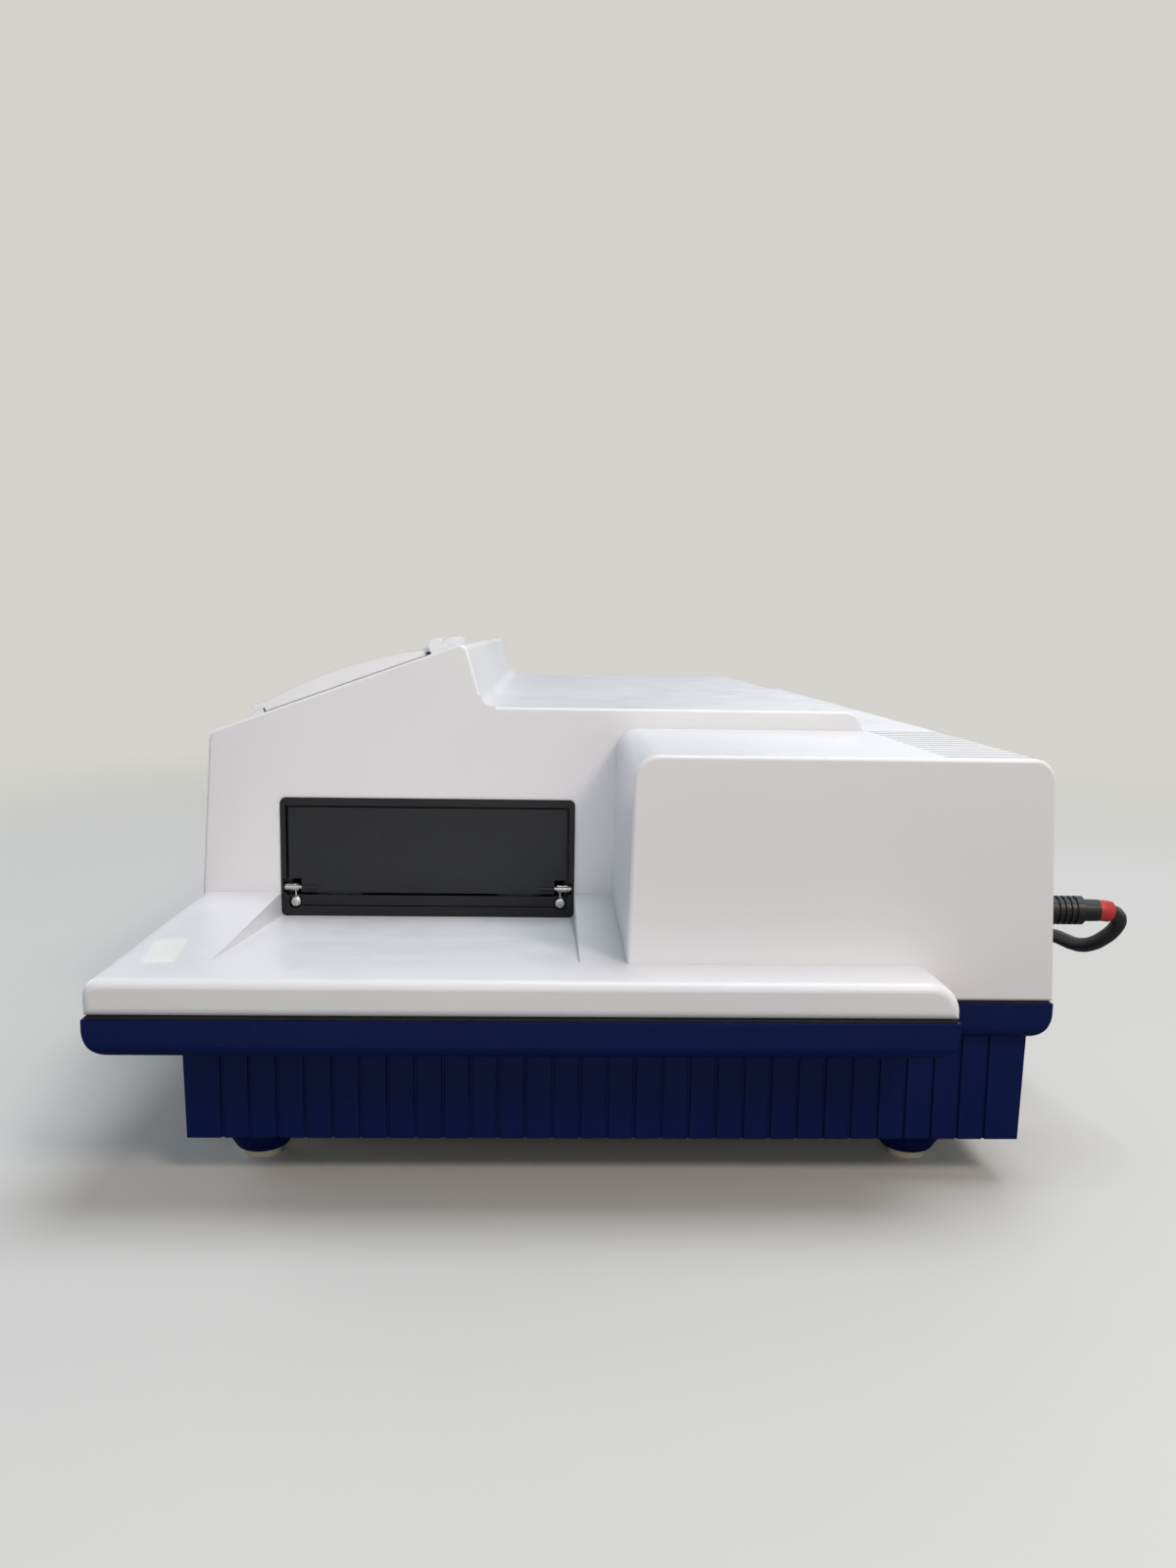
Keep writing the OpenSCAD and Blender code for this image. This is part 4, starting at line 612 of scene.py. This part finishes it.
def with_recesses(mesh):
    """The two door screws' mesh with a cross recess cut in each head, which faces +X."""
    shape = bmesh.new()
    shape.from_mesh(mesh)
    middle = sum(v.co.y for v in shape.verts) / len(shape.verts)
    form = cross_cutter(arm=1.7 * MM, half=0.42 * MM, floor=-1.0 * MM, top=1.0 * MM)
    tip = bpy.data.meshes.new("tip")
    form.to_mesh(tip)
    form.free()
    cutters = bmesh.new()
    for side in (-1, 1):
        head = [v.co for v in shape.verts if (v.co.y - middle) * side > 0]
        centre = [(min(c[i] for c in head) + max(c[i] for c in head)) / 2 for i in (1, 2)]
        face = Matrix.Translation((max(c.x for c in head), *centre)) @ Matrix.Rotation(math.pi / 2, 4, "Y")
        add_copy(cutters, tip, face @ Matrix.Rotation(math.radians(DOOR_SCREW_TURN_DEG * side), 4, "Z"))
    bpy.data.meshes.remove(tip)
    return cut_away(shape, cutters)


def dress(node, rounding):
    """Shows a copy of a CAD node with the same shape, welded corners, rounded edges and smooth normals."""
    cad = frame["nodes"][node]
    shape = bmesh.new()
    shape.from_mesh(cad.data)
    bmesh.ops.remove_doubles(shape, verts=shape.verts, dist=WELD)
    if node == "plug_ring":
        everything = shape.verts[:] + shape.edges[:] + shape.faces[:]
        cut = bmesh.ops.bisect_plane(shape, geom=everything, plane_co=cad.matrix_world.inverted() @ RING_END,
                                     plane_no=RING_DIRECTION, clear_outer=True)["geom_cut"]
        bmesh.ops.holes_fill(shape, edges=[e for e in cut if isinstance(e, bmesh.types.BMEdge)])
    if rounding:
        bmesh.ops.dissolve_limit(shape, angle_limit=JOINED, verts=shape.verts, edges=shape.edges)
    skin = make_object(node + "_skin", shape)
    if rounding:
        skin.data = bevelled(skin, rounding)
    if node == "door_screws":
        skin.data = with_recesses(skin.data)
    set_normals(skin.data)
    paint(skin, slot_of[node])
    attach(skin, cad["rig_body"])
    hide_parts(node)


for node_name, cad_node in frame["nodes"].items():
    if node_name in EDGE_ROUNDINGS:
        dress(node_name, EDGE_ROUNDINGS[node_name] * MM)
    elif node_name not in ("cord_tube", "cord_coil"):
        paint(cad_node, slot_of[node_name])
cord.data.materials.append(materials["cord"])


# ---- Blank label on the shelf ----

LABEL_AT = Vector((248.5, -171.2, 94.72)) * MM
LABEL_TURN_DEG = 8
CORNER_STEP_DEG = 15


def flat_plate(name, centre, length, width, thickness, corner, turn_deg):
    """A thin plate with rounded corners, lying flat and turned about its centre."""
    outline = []
    for x, y, start in ((1, 1, 0), (-1, 1, 90), (-1, -1, 180), (1, -1, 270)):
        for degrees in range(start, start + 91, CORNER_STEP_DEG):
            angle = math.radians(degrees)
            outline.append(Vector((x * (length / 2 - corner) + corner * math.cos(angle),
                                   y * (width / 2 - corner) + corner * math.sin(angle), 0)))
    turned = Matrix.Translation(centre) @ Matrix.Rotation(math.radians(turn_deg), 4, "Z")
    rise = Vector((0, 0, thickness))
    return make_object(name, closed_form([[turned @ point for point in outline],
                                          [turned @ (point + rise) for point in outline]]))


def label_paper():
    """Off-white paper with a slightly yellowed cloud and fine fibres."""
    s = Shader("label_paper")
    tone = s.mix(s.steps(s.noise(45, detail=3), 0, 1), srgb(237, 237, 233), srgb(230, 229, 222))
    return s.finish(tone, 0.5, s.bump(s.noise(1800), 0.02 * MM, strength=0.5))


label = flat_plate("blank_label", LABEL_AT, length=36 * MM, width=13 * MM, thickness=0.12 * MM,
                   corner=1.2 * MM, turn_deg=LABEL_TURN_DEG)
label.data.materials.append(label_paper())
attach(label, "instrument")


# ---- Fasteners on the rear panel ----

# places on the panel in millimetres: the fan's and the sockets' as in part.scad, the screws' and posts'
# chosen to fit them
PANEL_MID_Z = 124.2
FAN_X = 5
FAN_SCREWS_X, FAN_SCREWS_Z = (-25, 25), (-24, 24)
PANEL_SCREWS_X, PANEL_SCREWS_Z = (-150, -42), (-20, 20)
SOCKETS_X = (-110, -75)
POSTS_BESIDE_SOCKET = (-9.4, 9.4)
SOCKET_PLATE = 1 * MM
# each one is turned by this much more than the one before, as a hand leaves them
FIRST_TURN_DEG, TURN_STEP_DEG = 12, 37


def cross_head():
    """A pan-head screw's head with its cross recess, lying on the plane z = 0."""
    profile = [(2.7, 0), (2.75, 0.5), (2.55, 1.0), (2.1, 1.4), (1.4, 1.68), (0.6, 1.78)]
    return cut_away(turned_head([(r * MM, z * MM) for r, z in profile], sides=28),
                    cross_cutter(arm=1.5 * MM, half=0.28 * MM, floor=0.7 * MM, top=2.5 * MM))


def jack_post():
    """A hexagonal post beside a data socket, with its threaded bore."""
    post = turned_head([(2.6 * MM, 0), (2.6 * MM, 3.3 * MM), (2.3 * MM, 3.6 * MM)], sides=6)
    bore = turned_head([(1.3 * MM, 1 * MM), (1.3 * MM, 5 * MM)], sides=20)
    return cut_away(post, bore)


def fasteners(name, mesh, places, face_y):
    """Copies of a mesh at places on the rear panel's face, each turned differently, as one piece."""
    shape = bmesh.new()
    for i, (x, z) in enumerate(places):
        face = Matrix.Translation((x * MM, face_y, z * MM)) @ Matrix.Rotation(-math.pi / 2, 4, "X")
        turn = math.radians(TURN_STEP_DEG * i + FIRST_TURN_DEG)
        add_copy(shape, mesh, face @ Matrix.Rotation(turn, 4, "Z"))
    piece = make_object(name, shape)
    set_normals(piece.data)
    paint(piece, "screw")
    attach(piece, "instrument")


rear_panel = frame["nodes"]["rear_panel"]
panel_face_y = max((rear_panel.matrix_world @ Vector(corner)).y for corner in rear_panel.bound_box)
fan_screws = [(FAN_X + x, PANEL_MID_Z + z) for x in FAN_SCREWS_X for z in FAN_SCREWS_Z]
panel_screws = [(x, PANEL_MID_Z + z) for x in PANEL_SCREWS_X for z in PANEL_SCREWS_Z]
posts = [(x + side, PANEL_MID_Z) for x in SOCKETS_X for side in POSTS_BESIDE_SOCKET]
fasteners("rear_panel_screws", cross_head(), fan_screws + panel_screws, panel_face_y)
fasteners("data_socket_posts", jack_post(), posts, panel_face_y + SOCKET_PLATE)


# ---- Floor, background and light ----

BACKDROP = (0.66, 0.65, 0.61, 1)
FLOOR_SIZE = 60
FLOOR, FLOOR_CLOUD = (0.66, 0.65, 0.62, 1), (0.63, 0.62, 0.59, 1)
# what the floor throws back onto the object
FLOOR_BOUNCE = (0.16, 0.16, 0.165, 1)
# how far from the middle the floor begins to fade into the backdrop, and where it has faded
FADE_START, FADE_END = 0.55, 1.6
ROOM_LIGHT, ROOM_STRENGTH = (0.86, 0.95, 1.0, 1), 0.22
# each lamp's name, place, aim, diameter, watts and colour
LAMPS = [
    ("ceiling_light", (0.1, 0.45, 1.9), (0.1, 0, 0.1), 1.1, 21.5, (0.88, 0.93, 1.0)),
    ("key_light", (1.5, 0.9, 1.5), (0.15, 0.05, 0.1), 0.5, 14.5, (1.0, 0.87, 0.77)),
    ("camera_fill", (1.9, 0, 0.35), (0, 0, 0.12), 1.2, 7.5, (1.0, 0.96, 0.93)),
    ("left_fill", (0.6, -1.6, 0.8), (0.1, 0, 0.12), 1.0, 3.2, (0.55, 0.72, 1.0)),
    ("front_fill", (-1.0, -1.6, 0.75), (0, 0, 0.12), 1.2, 9, (0.98, 0.99, 1.0)),
    ("back_fill", (-1.6, 0.9, 1.1), (0, 0, 0.1), 1.4, 6, (0.97, 0.98, 1.0)),
    ("rear_fill", (-0.3, 2.0, 0.7), (0, 0.1, 0.1), 1.2, 6, (0.99, 0.99, 1.0)),
]


def make_floor():
    """A pale floor that fades into the backdrop's colour far from the object, and is open from below. It
    throws back less light than it shows, as the photograph's dark bench does."""
    bpy.ops.mesh.primitive_plane_add(size=FLOOR_SIZE, location=(0, 0, 0))
    floor = bpy.context.active_object
    floor.name = "pale_floor"
    s = Shader("pale_floor")
    shown = s.mix(s.steps(s.noise(2), 0, 0.2), FLOOR, FLOOR_CLOUD)
    camera_ray = s.node("ShaderNodeLightPath").outputs["Is Camera Ray"]
    s.finish(s.mix(camera_ray, FLOOR_BOUNCE, shown), 0.7, Specular_IOR_Level=0.1)
    distance = s.node("ShaderNodeVectorMath", operation="LENGTH")
    s.link(s.place, distance.inputs[0])
    far = s.steps(distance.outputs["Value"], 0, 1, from_low=FADE_START, from_high=FADE_END)
    far.node.interpolation_type = "SMOOTHSTEP"
    glow = s.node("ShaderNodeEmission")
    glow.inputs["Color"].default_value = BACKDROP
    mixed = s.node("ShaderNodeMixShader")
    s.link(far, mixed.inputs[0])
    s.link(s.bsdf.outputs[0], mixed.inputs[1])
    s.link(glow.outputs[0], mixed.inputs[2])
    below = s.node("ShaderNodeMixShader")
    s.link(s.node("ShaderNodeNewGeometry").outputs["Backfacing"], below.inputs[0])
    s.link(mixed.outputs[0], below.inputs[1])
    s.link(s.node("ShaderNodeBsdfTransparent").outputs[0], below.inputs[2])
    s.link(below.outputs[0], s.tree.nodes["Material Output"].inputs["Surface"])
    floor.data.materials.append(s.material)


def make_world():
    """Weak light from all round, and a plain pale background wherever the camera sees past the object,
    directly or through glass."""
    world = bpy.data.worlds.new("pale_room")
    scene.world = world
    world.use_nodes = True
    tree = world.node_tree
    tree.nodes.clear()
    path = tree.nodes.new("ShaderNodeLightPath")
    seen = tree.nodes.new("ShaderNodeMath")
    seen.operation = "MAXIMUM"
    tree.links.new(path.outputs["Is Camera Ray"], seen.inputs[0])
    tree.links.new(path.outputs["Is Transmission Ray"], seen.inputs[1])
    light = tree.nodes.new("ShaderNodeBackground")
    light.inputs["Color"].default_value = ROOM_LIGHT
    light.inputs["Strength"].default_value = ROOM_STRENGTH
    backdrop = tree.nodes.new("ShaderNodeBackground")
    backdrop.inputs["Color"].default_value = BACKDROP
    backdrop.inputs["Strength"].default_value = 1.0
    mixed = tree.nodes.new("ShaderNodeMixShader")
    tree.links.new(seen.outputs[0], mixed.inputs[0])
    tree.links.new(light.outputs[0], mixed.inputs[1])
    tree.links.new(backdrop.outputs[0], mixed.inputs[2])
    output = tree.nodes.new("ShaderNodeOutputWorld")
    tree.links.new(mixed.outputs[0], output.inputs["Surface"])


def area_light(name, at, towards, size, power, colour):
    data = bpy.data.lights.new(name, "AREA")
    data.shape = "DISK"
    data.size = size
    data.energy = power
    data.color = colour
    lamp = bpy.data.objects.new(name, data)
    scene.collection.objects.link(lamp)
    lamp.location = at
    lamp.rotation_euler = (Vector(towards) - Vector(at)).to_track_quat("-Z", "Y").to_euler()


make_floor()
make_world()
for lamp in LAMPS:
    area_light(*lamp)
scene.view_settings.view_transform = "Standard"
